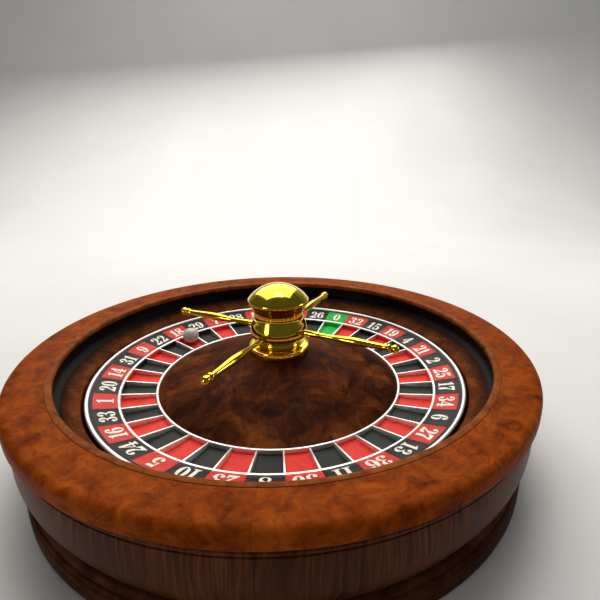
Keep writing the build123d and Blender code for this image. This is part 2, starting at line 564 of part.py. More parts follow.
# Number ring: black lacquered cone ring that the coloured number plates lie on.
TILE_THICKNESS = 0.6
TILE_OUTER_RADIUS = 183.6
TILE_OUTER_TOP = NUMBER_INNER_TOP + (NUMBER_OUTER_TOP - NUMBER_INNER_TOP) * (
    (TILE_OUTER_RADIUS - NUMBER_INNER_RADIUS) / (DISC_RADIUS - NUMBER_INNER_RADIUS))
with BuildPart() as number_ring:
    with BuildSketch(Plane.XZ):
        with BuildLine():
            Polyline((NUMBER_INNER_RADIUS, DISC_TOP), (DISC_RADIUS, DISC_TOP),
                     (DISC_RADIUS, NUMBER_OUTER_TOP), (TILE_OUTER_RADIUS, TILE_OUTER_TOP),
                     (TILE_OUTER_RADIUS, TILE_OUTER_TOP - TILE_THICKNESS),
                     (NUMBER_INNER_RADIUS, NUMBER_INNER_TOP - TILE_THICKNESS), close=True)
        make_face()
    revolve(axis=Axis.Z)
    with BuildSketch(Plane.XY.offset(DISC_TOP)):
        with PolarLocations(RING_SCREW_CIRCLE, RING_SCREW_COUNT):
            Circle(WOOD_SCREW_RADIUS)
    extrude(amount=RING_SCREW_TIP - DISC_TOP, mode=Mode.SUBTRACT)
number_ring.part.label = "number_ring"

# One enamelled number plate, made along +X, then repeated for each colour.
with BuildPart() as number_plate:
    with BuildSketch(Plane.XZ.rotated((0, 0, -PITCH / 2))):
        with BuildLine():
            Polyline((NUMBER_INNER_RADIUS, NUMBER_INNER_TOP - TILE_THICKNESS),
                     (TILE_OUTER_RADIUS, TILE_OUTER_TOP - TILE_THICKNESS),
                     (TILE_OUTER_RADIUS, TILE_OUTER_TOP), (NUMBER_INNER_RADIUS, NUMBER_INNER_TOP), close=True)
        make_face()
    revolve(axis=Axis.Z, revolution_arc=PITCH)

with BuildPart() as number_plates_red:
    with Locations(turned_to(RED_ANGLES)):
        add(number_plate.part)
number_plates_red.part.label = "number_plates_red"

with BuildPart() as number_plates_black:
    with Locations(turned_to(BLACK_ANGLES)):
        add(number_plate.part)
number_plates_black.part.label = "number_plates_black"

with BuildPart() as number_plate_green:
    with Locations(turned_to(GREEN_ANGLES)):
        add(number_plate.part)
number_plate_green.part.label = "number_plate_green"

# Polished ring between the numbers and the pockets.
RING_CROWN = 0.8
with BuildPart() as outer_fret_ring:
    with BuildSketch(Plane.XZ):
        with BuildLine():
            Polyline((POCKET_OUTER_RADIUS, RING_HEIGHT), (POCKET_OUTER_RADIUS, DISC_TOP),
                     (NUMBER_INNER_RADIUS, DISC_TOP), (NUMBER_INNER_RADIUS, NUMBER_INNER_TOP))
            ThreePointArc((NUMBER_INNER_RADIUS, NUMBER_INNER_TOP),
                          ((POCKET_OUTER_RADIUS + NUMBER_INNER_RADIUS) / 2, RING_HEIGHT + RING_CROWN),
                          (POCKET_OUTER_RADIUS, RING_HEIGHT))
        make_face()
    revolve(axis=Axis.Z)
outer_fret_ring.part.label = "outer_fret_ring"

# Polished ring between the pockets and the cone.
INNER_RING_TOP = RING_HEIGHT - 4.4
with BuildPart() as inner_fret_ring:
    with BuildSketch(Plane.XZ):
        with BuildLine():
            Polyline((CONE_RADIUS, INNER_RING_TOP - 0.6), (CONE_RADIUS, DISC_TOP),
                     (POCKET_INNER_RADIUS, DISC_TOP), (POCKET_INNER_RADIUS, INNER_RING_TOP - 0.3))
            ThreePointArc((POCKET_INNER_RADIUS, INNER_RING_TOP - 0.3),
                          ((CONE_RADIUS + POCKET_INNER_RADIUS) / 2, INNER_RING_TOP + 0.5),
                          (CONE_RADIUS, INNER_RING_TOP - 0.6))
        make_face()
    revolve(axis=Axis.Z)
inner_fret_ring.part.label = "inner_fret_ring"

# Bed under the pockets, between the two fret rings.
BED_OUTER_TOP = FLOOR_OUTER - FLOOR_THICKNESS
BED_INNER_TOP = FLOOR_INNER - FLOOR_THICKNESS
with BuildPart() as pocket_bed:
    with BuildSketch(Plane.XZ):
        with BuildLine():
            Polyline((POCKET_INNER_RADIUS, DISC_TOP), (POCKET_OUTER_RADIUS, DISC_TOP),
                     (POCKET_OUTER_RADIUS, BED_OUTER_TOP), (POCKET_INNER_RADIUS, BED_INNER_TOP), close=True)
        make_face()
    revolve(axis=Axis.Z)
pocket_bed.part.label = "pocket_bed"

# Upright frets that part the pockets, all in one node.
with BuildPart() as one_fret:
    with BuildSketch(Plane.XZ.rotated((0, 0, -FRET_ANGLE / 2))):
        with BuildLine():
            Polyline((POCKET_INNER_RADIUS, BED_INNER_TOP), (POCKET_OUTER_RADIUS, BED_OUTER_TOP),
                     (POCKET_OUTER_RADIUS, RING_HEIGHT), (POCKET_INNER_RADIUS, FRET_INNER_TOP), close=True)
        make_face()
    revolve(axis=Axis.Z, revolution_arc=FRET_ANGLE)

with BuildPart() as frets:
    with Locations(turned_to(FRET_ANGLES)):
        add(one_fret.part)
frets.part.label = "frets"

# Each pocket has a coloured floor pad and a coloured back plate, made along +X.
BACK_THICKNESS = 0.8
BACK_TOP = RING_HEIGHT - 0.8
POCKET_ANGLE = PITCH - FRET_ANGLE
with BuildPart() as pocket_floor:
    with BuildSketch(Plane.XZ.rotated((0, 0, -POCKET_ANGLE / 2))):
        with BuildLine():
            Polyline((POCKET_INNER_RADIUS, BED_INNER_TOP), (POCKET_OUTER_RADIUS, BED_OUTER_TOP),
                     (POCKET_OUTER_RADIUS, FLOOR_OUTER), (POCKET_INNER_RADIUS, FLOOR_INNER), close=True)
        make_face()
    revolve(axis=Axis.Z, revolution_arc=POCKET_ANGLE)

with BuildPart() as pocket_back:
    with BuildSketch(Plane.XZ.rotated((0, 0, -POCKET_ANGLE / 2))):
        with BuildLine():
            Polyline((POCKET_OUTER_RADIUS - BACK_THICKNESS, FLOOR_OUTER), (POCKET_OUTER_RADIUS, FLOOR_OUTER),
                     (POCKET_OUTER_RADIUS, BACK_TOP), (POCKET_OUTER_RADIUS - BACK_THICKNESS, BACK_TOP),
                     close=True)
        make_face()
    revolve(axis=Axis.Z, revolution_arc=POCKET_ANGLE)

pocket_pieces = []
for colour, angles in (("red", RED_ANGLES), ("black", BLACK_ANGLES), ("green", GREEN_ANGLES)):
    with BuildPart() as pocket_floors:
        with Locations(turned_to(angles)):
            add(pocket_floor.part)
    pocket_floors.part.label = f"pocket_floors_{colour}"

    with BuildPart() as pocket_backs:
        with Locations(turned_to(angles)):
            add(pocket_back.part)
    pocket_backs.part.label = f"pocket_backs_{colour}"
    pocket_pieces += [pocket_floors, pocket_backs]

# Burr mahogany cone, slightly domed, bored from below for the hub and through for the tie rod.
CONE_EDGE_TOP = INNER_RING_TOP - 0.6
CONE_BULGE = 2.2
with BuildPart() as rotor_cone:
    with BuildSketch(Plane.XZ):
        with BuildLine():
            Polyline((TURRET_RADIUS, CONE_TOP), (ROD_RADIUS, CONE_TOP), (ROD_RADIUS, HUB_TOP),
                     (HUB_RADIUS, HUB_TOP), (HUB_RADIUS, DISC_TOP), (CONE_RADIUS, DISC_TOP),
                     (CONE_RADIUS, CONE_EDGE_TOP))
            ThreePointArc((CONE_RADIUS, CONE_EDGE_TOP),
                          ((CONE_RADIUS + TURRET_RADIUS) / 2, (CONE_EDGE_TOP + CONE_TOP) / 2 + CONE_BULGE),
                          (TURRET_RADIUS, CONE_TOP))
        make_face()
    revolve(axis=Axis.Z)
    with BuildSketch(Plane.XY.offset(DISC_TOP)):
        with PolarLocations(CONE_SCREW_CIRCLE, CONE_SCREW_COUNT):
            Circle(WOOD_SCREW_RADIUS)
    extrude(amount=CONE_SCREW_TIP - DISC_TOP, mode=Mode.SUBTRACT)
rotor_cone.part.label = "rotor_cone"

# =========================== the turret ====================================================

# Steel tie rod from the hub up into the cap; it clamps the turret to the cone.
ROD_TOP = TURRET_TOP - 10
with BuildPart() as tie_rod:
    with BuildSketch(Plane.XY.offset(HUB_CAVITY_TOP)):
        Circle(ROD_RADIUS)
    extrude(amount=ROD_TOP - HUB_CAVITY_TOP)
    chamfer(tie_rod.edges().group_by(Axis.Z)[-1], length=1)
tie_rod.part.label = "tie_rod"

# Brass foot of the turret: a low round-edged flange.
FOOT_FLANGE_TOP = CONE_TOP + 8
FLANGE_EDGE = CONE_TOP + 7.2
FOOT_ROUND = 1.2
LOWER_NECK_RADIUS = 27.0
with BuildPart() as turret_foot:
    with BuildSketch(Plane.XZ):
        with BuildLine():
            Polyline((TURRET_RADIUS - FOOT_ROUND, FLANGE_EDGE), (LOWER_NECK_RADIUS + 1, FOOT_FLANGE_TOP),
                     (ROD_RADIUS, FOOT_FLANGE_TOP), (ROD_RADIUS, CONE_TOP), (TURRET_RADIUS, CONE_TOP),
                     (TURRET_RADIUS, FLANGE_EDGE - FOOT_ROUND))
            RadiusArc((TURRET_RADIUS, FLANGE_EDGE - FOOT_ROUND), (TURRET_RADIUS - FOOT_ROUND, FLANGE_EDGE),
                      -FOOT_ROUND)
        make_face()
    revolve(axis=Axis.Z)
turret_foot.part.label = "turret_foot"

# Hollow-sided lower neck.
HUB_BOTTOM_LEVEL = CONE_TOP + 14.5
NECK_WAIST = 22.0
with BuildPart() as turret_lower_neck:
    with BuildSketch(Plane.XZ):
        with BuildLine():
            Polyline((ROD_RADIUS, HUB_BOTTOM_LEVEL), (ROD_RADIUS, FOOT_FLANGE_TOP),
                     (LOWER_NECK_RADIUS, FOOT_FLANGE_TOP))
            Spline((LOWER_NECK_RADIUS, FOOT_FLANGE_TOP), (NECK_WAIST, FOOT_FLANGE_TOP + 4.2),
                   (NECK_WAIST + 1, HUB_BOTTOM_LEVEL), tangents=[(-1, 0.35), (0.5, 1)])
            Line((NECK_WAIST + 1, HUB_BOTTOM_LEVEL), (ROD_RADIUS, HUB_BOTTOM_LEVEL))
        make_face()
    revolve(axis=Axis.Z)
turret_lower_neck.part.label = "turret_lower_neck"

# Bulging middle of the turret: a turned blank, bored crossways for the four arms.
HUB_TOP_LEVEL = ARM_HEIGHT + 13
MIDDLE_RADIUS = 29.8
MIDDLE_FOOT_RADIUS = 25.0
MIDDLE_TOP_RADIUS = 26.4
ARM_SPIGOT_RADIUS = 2.6
ARM_SPIGOT_START = 14.0
ARM_ANGLES = [ARM_ANGLE + arm * 360 / ARM_COUNT for arm in range(ARM_COUNT)]
with BuildPart() as middle_blank:
    with BuildSketch(Plane.XZ):
        with BuildLine():
            Polyline((ROD_RADIUS, HUB_TOP_LEVEL), (ROD_RADIUS, HUB_BOTTOM_LEVEL),
                     (MIDDLE_FOOT_RADIUS, HUB_BOTTOM_LEVEL))
            Spline((MIDDLE_FOOT_RADIUS, HUB_BOTTOM_LEVEL), (MIDDLE_RADIUS - 1.0, ARM_HEIGHT - 5.5),
                   (MIDDLE_RADIUS, ARM_HEIGHT - 2), (MIDDLE_RADIUS - 0.6, ARM_HEIGHT + 3),
                   (MIDDLE_RADIUS - 2, ARM_HEIGHT + 8), (MIDDLE_TOP_RADIUS, HUB_TOP_LEVEL),
                   tangents=[(1, 0.6), (-0.3, 1)])
            Line((MIDDLE_TOP_RADIUS, HUB_TOP_LEVEL), (ROD_RADIUS, HUB_TOP_LEVEL))
        make_face()
    revolve(axis=Axis.Z)

with BuildPart() as turret_middle:
    add(middle_blank.part)
    for angle in ARM_ANGLES:
        with BuildSketch(Plane.YZ.rotated((0, 0, angle)).offset(ARM_SPIGOT_START)):
            with Locations((0, ARM_HEIGHT)):
                Circle(ARM_SPIGOT_RADIUS)
        extrude(amount=MIDDLE_RADIUS, mode=Mode.SUBTRACT)
turret_middle.part.label = "turret_middle"

# Upper neck, flared a little towards the cap.
CAP_BOTTOM = TURRET_TOP - 26.6
UPPER_NECK_RADIUS = 25.4
with BuildPart() as turret_upper_neck:
    with BuildSketch(Plane.XZ):
        with BuildLine():
            Polyline((ROD_RADIUS, CAP_BOTTOM), (ROD_RADIUS, HUB_TOP_LEVEL),
                     (UPPER_NECK_RADIUS, HUB_TOP_LEVEL))
            Spline((UPPER_NECK_RADIUS, HUB_TOP_LEVEL), (UPPER_NECK_RADIUS - 0.6, HUB_TOP_LEVEL + 4),
                   (UPPER_NECK_RADIUS + 0.4, CAP_BOTTOM), tangents=[(-0.4, 1), (0.45, 1)])
            Line((UPPER_NECK_RADIUS + 0.4, CAP_BOTTOM), (ROD_RADIUS, CAP_BOTTOM))
        make_face()
    revolve(axis=Axis.Z)
turret_upper_neck.part.label = "turret_upper_neck"

# Collar that widens from the neck to the dome.
CAP_EDGE = TURRET_TOP - 18.6
CAP_RADIUS = 31.2
COLLAR_FOOT_RADIUS = UPPER_NECK_RADIUS + 1.6
COLLAR_TOP_RADIUS = CAP_RADIUS - 0.2
with BuildPart() as turret_collar:
    with BuildSketch(Plane.XZ):
        with BuildLine():
            Polyline((ROD_RADIUS, CAP_EDGE), (ROD_RADIUS, CAP_BOTTOM), (COLLAR_FOOT_RADIUS, CAP_BOTTOM))
            Spline((COLLAR_FOOT_RADIUS, CAP_BOTTOM), (CAP_RADIUS - 1.8, CAP_EDGE - 3),
                   (COLLAR_TOP_RADIUS, CAP_EDGE), tangents=[(1, 0.7), (0, 1)])
            Line((COLLAR_TOP_RADIUS, CAP_EDGE), (ROD_RADIUS, CAP_EDGE))
        make_face()
    revolve(axis=Axis.Z)
turret_collar.part.label = "turret_collar"

# Polished dome with a short upright edge, tapped from below for the tie rod.
DOME_SPHERE_RADIUS = 38.1
DOME_EDGE_TOP = TURRET_TOP - DOME_SPHERE_RADIUS + math.sqrt(DOME_SPHERE_RADIUS**2 - CAP_RADIUS**2)
with BuildPart() as turret_dome:
    with BuildSketch(Plane.XZ):
        with BuildLine():
            RadiusArc((CAP_RADIUS, DOME_EDGE_TOP), (0, TURRET_TOP), -DOME_SPHERE_RADIUS)
            Polyline((0, TURRET_TOP), (0, ROD_TOP), (ROD_RADIUS, ROD_TOP), (ROD_RADIUS, CAP_EDGE),
                     (CAP_RADIUS, CAP_EDGE), (CAP_RADIUS, DOME_EDGE_TOP))
        make_face()
    revolve(axis=Axis.Z)
turret_dome.part.label = "turret_dome"

# One turned brass arm along +X: spigot, shoulder fitted to the blank, slender waist, belly, collar.
TIP_RADIUS = 4.1
TIP_CENTRE = ARM_REACH - TIP_RADIUS
TIP_SEAT = 2.8              # radius of the flat that a ball tip sits on
ARM_END = TIP_CENTRE - math.sqrt(TIP_RADIUS**2 - TIP_SEAT**2)
SHOULDER_END = 31.5
SHOULDER_RADIUS = 3.0
COLLAR_RADIUS = 4.0
COLLAR_START = ARM_END - 3.6
BELLY_RADIUS = 4.2
WAIST_RADIUS = 2.3
with BuildPart() as one_arm:
    with BuildSketch(Plane.XZ.shift_origin((0, 0, ARM_HEIGHT))):
        with BuildLine():
            Polyline((SHOULDER_END, SHOULDER_RADIUS), (ARM_SPIGOT_START, SHOULDER_RADIUS),
                     (ARM_SPIGOT_START, 0), (ARM_END, 0), (ARM_END, TIP_SEAT), (ARM_END - 1.2, COLLAR_RADIUS),
                     (ARM_END - 2.6, COLLAR_RADIUS), (COLLAR_START, TIP_SEAT))
            Spline((COLLAR_START, TIP_SEAT), (98, 3.1), (84, BELLY_RADIUS), (69, 3.5), (55, WAIST_RADIUS),
                   (42, 2.9), (SHOULDER_END, SHOULDER_RADIUS))
        make_face()
    revolve(axis=Axis((0, 0, ARM_HEIGHT), (1, 0, 0)))
    add(middle_blank.part, mode=Mode.SUBTRACT)
    with BuildSketch(Plane.YZ.offset(ARM_SPIGOT_START)):
        with Locations((0, ARM_HEIGHT)):
            Circle(ARM_SPIGOT_RADIUS)
    extrude(amount=SHOULDER_END - ARM_SPIGOT_START)

with BuildPart() as one_tip:
    with Locations((TIP_CENTRE, 0, ARM_HEIGHT)):
        Sphere(TIP_RADIUS)
    split(bisect_by=Plane.YZ.offset(ARM_END), keep=Keep.TOP)

arms = []
for number, angle in enumerate(ARM_ANGLES, start=1):
    with BuildPart() as arm:
        with Locations(turned_to([angle])):
            add(one_arm.part)
    arm.part.label = f"arm_{number}"
    arms.append(arm)

# Ball tips screwed on the ends of the arms, all in one node.
with BuildPart() as arm_tips:
    with Locations(turned_to(ARM_ANGLES)):
        add(one_tip.part)
arm_tips.part.label = "arm_tips"

# =========================== the ball ======================================================

# Ivory-coloured ball, resting in the pocket of its number.
BALL_CIRCLE = 150.0
BALL_ANGLE = pocket_angle(BALL_POCKET) - 1.2
BALL_GAP = 0.3
FLOOR_SLOPE = (FLOOR_OUTER - FLOOR_INNER) / (POCKET_OUTER_RADIUS - POCKET_INNER_RADIUS)
FLOOR_UNDER_BALL = FLOOR_OUTER - (POCKET_OUTER_RADIUS - BALL_CIRCLE) * FLOOR_SLOPE
BALL_HEIGHT = FLOOR_UNDER_BALL + BALL_GAP + BALL_RADIUS * math.hypot(1, FLOOR_SLOPE)
with BuildPart() as ball:
    with Locations(Location((BALL_CIRCLE * math.cos(math.radians(BALL_ANGLE)),
                             BALL_CIRCLE * math.sin(math.radians(BALL_ANGLE)), BALL_HEIGHT))):
        Sphere(BALL_RADIUS)
ball.part.label = "ball"

# =========================== files =========================================================
os.makedirs("parts", exist_ok=True)
pieces = [
    rubber_feet, foot_screws, base_board, base_moulding, bowl_wall, bowl_rim, rim_lip, ball_track, apron,
    rotor_well, spindle_plate, plate_screws, spindle, spindle_washer, spindle_nut, bearing_spacer,
    spindle_top_nut,
    *bearing_pieces, bearing_balls, bearing_cages,
    rotor_hub, bearing_circlip, rotor_disc, hub_screws, cone_screws, ring_screws, edge_band, outer_bead,
    number_ring, number_plates_red, number_plates_black, number_plate_green,
    outer_fret_ring, inner_fret_ring, pocket_bed, frets, *pocket_pieces, rotor_cone,
    tie_rod, turret_foot, turret_lower_neck, turret_middle, turret_upper_neck, turret_collar, turret_dome,
    *arms, arm_tips,
    ball,
]
for piece in pieces:
    export_step(piece.part, f"parts/{piece.part.label}.step")
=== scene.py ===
import math

import bmesh
import bpy
from mathutils import Matrix, Vector
from mathutils.geometry import interpolate_bezier


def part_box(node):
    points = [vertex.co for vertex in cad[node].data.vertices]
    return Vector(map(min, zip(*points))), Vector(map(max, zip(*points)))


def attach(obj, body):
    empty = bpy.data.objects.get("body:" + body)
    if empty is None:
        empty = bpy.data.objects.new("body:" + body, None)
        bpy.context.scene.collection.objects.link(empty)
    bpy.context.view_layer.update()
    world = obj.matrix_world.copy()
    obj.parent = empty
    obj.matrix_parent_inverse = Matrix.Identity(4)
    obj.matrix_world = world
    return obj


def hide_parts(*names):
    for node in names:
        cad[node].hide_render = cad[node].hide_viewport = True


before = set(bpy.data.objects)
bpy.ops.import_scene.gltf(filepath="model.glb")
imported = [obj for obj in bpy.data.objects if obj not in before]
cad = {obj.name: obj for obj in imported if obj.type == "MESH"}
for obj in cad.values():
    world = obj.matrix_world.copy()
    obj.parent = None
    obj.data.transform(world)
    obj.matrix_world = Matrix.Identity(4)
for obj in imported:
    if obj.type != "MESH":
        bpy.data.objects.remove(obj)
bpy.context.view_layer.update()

# ---- rubber feet and their screws ----
# Eight moulded black rubber feet, each with a countersunk zinc-plated screw up into the board.
# The rubber is matt and a little dusty; the screws keep the fine scratches of the driver.


def add_node(material, kind, sockets=None, **settings):
    """One more node of a material. A socket takes a value, or another node's output."""
    made = material.node_tree.nodes.new("ShaderNode" + kind)
    for setting, value in settings.items():
        setattr(made, setting, value)
    for socket, value in (sockets or {}).items():
        plug_in(material, made.inputs[socket], value)
    return made


def plug_in(material, socket, value):
    """Gives a socket its value, or the link that feeds it."""
    if isinstance(value, bpy.types.NodeSocket):
        material.node_tree.links.new(value, socket)
    else:
        socket.default_value = value


def new_material(name):
    """A node material, its surface shader, and object coordinates: metres in the wheel's frame."""
    made = bpy.data.materials.new(name)
    made.use_nodes = True
    return made, made.node_tree.nodes["Principled BSDF"], add_node(made, "TexCoord").outputs["Object"]


def colour_surface(material, shader, colour, roughness):
    """Plugs a colour and a roughness into the surface shader."""
    plug_in(material, shader.inputs["Base Color"], colour)
    plug_in(material, shader.inputs["Roughness"], roughness)


def sum_up(material, operation, first, second=0.0, third=0.0):
    """One Math node."""
    return add_node(material, "Math", {0: first, 1: second, 2: third}, operation=operation).outputs[0]


def mottle(material, place, scale, detail=4.0, roughness=0.55, distortion=0.0):
    """Soft cloudy variation, from 0 to 1. Scale is in patches per metre."""
    sockets = {"Vector": place, "Scale": scale, "Detail": detail, "Roughness": roughness,
               "Distortion": distortion}
    return add_node(material, "TexNoise", sockets).outputs["Fac"]


def stretch(material, place, factors):
    """The same place with each axis scaled, for grain and brushed lines."""
    return add_node(material, "VectorMath", {0: place, 1: factors}, operation="MULTIPLY").outputs[0]


def level(material, value, low, high, to_low=0.0, to_high=1.0):
    """Remaps a value from one range to another, held at both ends."""
    sockets = {"Value": value, "From Min": low, "From Max": high, "To Min": to_low, "To Max": to_high}
    return add_node(material, "MapRange", sockets, clamp=True).outputs["Result"]


def tint(material, factor, stops):
    """A colour for each value: stops are (position, linear red, green, blue)."""
    ramp = add_node(material, "ValToRGB", {"Fac": factor})
    elements = ramp.color_ramp.elements
    for extra in stops[2:]:
        elements.new(extra[0])
    for element, (position, red, green, blue) in zip(elements, sorted(stops)):
        element.position = position
        element.color = (red, green, blue, 1)
    return ramp.outputs["Color"]


def darken(material, colour, share):
    """A colour multiplied by another, or by a value."""
    sockets = {"Factor": 1.0, 6: colour, 7: share}
    return add_node(material, "Mix", sockets, data_type="RGBA", blend_type="MULTIPLY").outputs[2]


def relief(material, shader, height, depth, strength=1.0):
    """Fine bumps on the surface; depth is in metres."""
    bump = add_node(material, "Bump", {"Height": height, "Distance": depth, "Strength": strength})
    plug_in(material, shader.inputs["Normal"], bump.outputs["Normal"])


def combine(material, x, y, z):
    """A place made up of three values."""
    return add_node(material, "CombineXYZ", {"X": x, "Y": y, "Z": z}).outputs[0]


def swirling(material, place, scale, detail):
    """A colour that drifts from place to place."""
    sockets = {"Vector": place, "Scale": scale, "Detail": detail}
    return add_node(material, "TexNoise", sockets).outputs["Color"]


def swirl_about(material, swirl, reach, place):
    """A place pushed about by a swirling colour, by up to reach."""
    sockets = {0: swirl, 1: (reach,) * 3, 2: place}
    return add_node(material, "VectorMath", sockets, operation="MULTIPLY_ADD").outputs[0]


def from_axis(material, place):
    """Distance from the wheel's axis, and the turn about it in radians."""
    parts = add_node(material, "SeparateXYZ", {0: place})
    flat = stretch(material, place, (1, 1, 0))
    radius = add_node(material, "VectorMath", {0: flat}, operation="LENGTH").outputs["Value"]
    return radius, sum_up(material, "ARCTAN2", parts.outputs["Y"], parts.outputs["X"]), parts.outputs["Z"]


def black_rubber():
    """Moulded rubber: dull black with a grey bloom of dust."""
    made, shader, place = new_material("black_rubber")
    dust = mottle(made, place, 160, 6)
    colour_surface(made, shader, tint(made, dust, [(0.3, 0.012, 0.012, 0.012), (0.8, 0.05, 0.047, 0.043)]),
                   level(made, dust, 0.3, 0.7, 0.62, 0.85))
    relief(made, shader, mottle(made, place, 2600, 3), 0.00012, 0.5)
    return made


def worked_metal(name, dark, light, dull, shiny, lines=0.35, ring_pitch=0.0005):
    """Turned or ground metal: fine rings about the wheel's axis, and a soft patchy polish."""
    made, shader, place = new_material(name)
    radius, _, height = from_axis(made, place)
    rings = mottle(made, combine(made, radius, 0, height), 1 / ring_pitch, 3, 0.7)
    patches = mottle(made, place, 90, 5)
    polish = sum_up(made, "MULTIPLY_ADD", rings, 0.35, patches)
    colour_surface(made, shader, tint(made, patches, [(0.25, *dark), (0.75, *light)]),
                   level(made, polish, 0.35, 1.0, shiny, dull))
    shader.inputs["Metallic"].default_value = 1.0
    relief(made, shader, rings, 0.00004, lines)
    return made


def keep_shape(material, *nodes):
    """CAD nodes that stay as they are, with a material of their own."""
    for node in nodes:
        cad[node].data.materials.clear()
        cad[node].data.materials.append(material)


zinc_steel = worked_metal("zinc_steel", (0.42, 0.44, 0.45), (0.66, 0.67, 0.66), 0.5, 0.28)
keep_shape(black_rubber(), "rubber_feet")
keep_shape(zinc_steel, "foot_screws")

# ---- base board ----
# Birch plywood disc that closes the bowl from below. Its plies are glued with the grain
# crossed, and its face veneer runs one way; the rotor's disc is cut from the same sheet.


def plywood(name, pale, warm, dark, ply=0.00135):
    """Birch plywood: crossed plies, each with its own grain and shade."""
    made, shader, place = new_material(name)
    parts = add_node(made, "SeparateXYZ", {0: place})
    sheet = sum_up(made, "FLOOR", sum_up(made, "DIVIDE", parts.outputs["Z"], ply))
    crossed = sum_up(made, "PINGPONG", sheet, 1.0)
    along = mottle(made, stretch(made, place, (9, 160, 9)), 1.0, 6, 0.6, 0.4)
    athwart = mottle(made, stretch(made, place, (160, 9, 9)), 1.0, 6, 0.6, 0.4)
    grain = sum_up(made, "MULTIPLY_ADD", crossed, sum_up(made, "SUBTRACT", athwart, along), along)
    shade = tint(made, grain, [(0.3, *dark), (0.5, *warm), (0.72, *pale)])
    glue = level(made, crossed, 0, 1, 0.78, 1.0)
    colour_surface(made, shader, darken(made, shade, glue), level(made, grain, 0.3, 0.7, 0.62, 0.48))
    relief(made, shader, grain, 0.0002, 0.4)
    return made


keep_shape(plywood("plywood", (0.56, 0.39, 0.21), (0.46, 0.30, 0.15), (0.30, 0.18, 0.08)), "base_board")

# ---- skirting ----
# Mahogany skirting turned with an ogee and glued round the board. It covers the plywood's edge
# and the glue joint under the wall. Stained darker than the rim, and lacquered.
MM = 0.001
RING_STEPS = 288            # facets in a full turn of a large ring
TURN = 2 * math.pi
WELD = 1e-7                 # metres; points nearer than this are one
SHARP_EDGE = math.radians(35)
scene = bpy.context.scene


def corners(node):
    """The two corners of a CAD node's box, in millimetres."""
    return tuple(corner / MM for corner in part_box(node))


def bend(start, first_pull, last_pull, end, points=8):
    """A smooth stretch of an outline, without its first point."""
    path = interpolate_bezier(*(Vector((*p, 0)) for p in (start, first_pull, last_pull, end)), points + 1)
    return [(p.x, p.y) for p in path[1:]]


def draw_line(blank, points, closed=False):
    """Joins points, in metres, with edges; returns the new corners."""
    made = [blank.verts.new(point) for point in points]
    for first, second in zip(made, made[1:] + made[:closed]):
        blank.edges.new((first, second))
    return made


def spin(blank, centre, axis, turn, steps):
    """Spins a blank's outline, welds it, and turns its faces outwards."""
    bmesh.ops.spin(blank, geom=blank.verts[:] + blank.edges[:], cent=centre, axis=axis, dvec=(0, 0, 0),
                   angle=turn, steps=steps, use_merge=turn == TURN, use_duplicate=False)
    bmesh.ops.remove_doubles(blank, verts=blank.verts, dist=WELD)
    bmesh.ops.recalc_face_normals(blank, faces=blank.faces)


def rotate(blank, angle, verts=None):
    """Turns a blank, or some of it, about the wheel's axis."""
    matrix = Matrix.Rotation(angle, 3, "Z")
    bmesh.ops.rotate(blank, cent=(0, 0, 0), matrix=matrix, verts=verts or blank.verts)


def turned(outline, eased=(), steps=RING_STEPS, turn=TURN, ease_segments=3):
    """Spins a closed outline of (radius, height) in millimetres round the wheel's axis.
    eased lists (place in the outline, rounding) of the corners that are sanded or rolled over."""
    blank = bmesh.new()
    points = draw_line(blank, [(radius * MM, 0, height * MM) for radius, height in outline], closed=True)
    for corner, rounding in eased:
        point = points[corner]
        bmesh.ops.bevel(blank, geom=[point, *point.link_edges], offset=rounding * MM, offset_type="OFFSET",
                        segments=ease_segments, profile=0.5, affect="VERTICES", material=-1)
    spin(blank, (0, 0, 0), (0, 0, 1), turn, steps)
    return blank


def put_in_scene(name, blank, material):
    """Turns a finished blank into an object of the scene, with smooth faces."""
    mesh = bpy.data.meshes.new(name)
    for face in blank.faces:
        face.smooth = True
    blank.to_mesh(mesh)
    blank.free()
    mesh.materials.append(material)
    made = bpy.data.objects.new(name, mesh)
    scene.collection.objects.link(made)
    return made


def make_piece(name, blank, body, material, slot, *replaced):
    """Puts a finished blank into the scene as one piece of the wheel."""
    for edge in blank.edges:
        edge.smooth = edge.calc_face_angle(0) < SHARP_EDGE
    piece = put_in_scene(name, blank, material)
    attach(piece, body)
    if replaced:
        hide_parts(*replaced)
    return piece


def from_middle(material, share):
    """Distance from the middle of a segment, from 0 to 0.5 at its glue joints."""
    return sum_up(material, "ABSOLUTE", sum_up(material, "SUBTRACT", sum_up(material, "FRACT", share), 0.5))


def by_lot(material, number, darkest, lightest):
    """A shade for each numbered segment, in no order that can be seen."""
    lot = sum_up(material, "FRACT", sum_up(material, "MULTIPLY", number, 0.618))
    return level(material, lot, 0, 1, darkest, lightest)


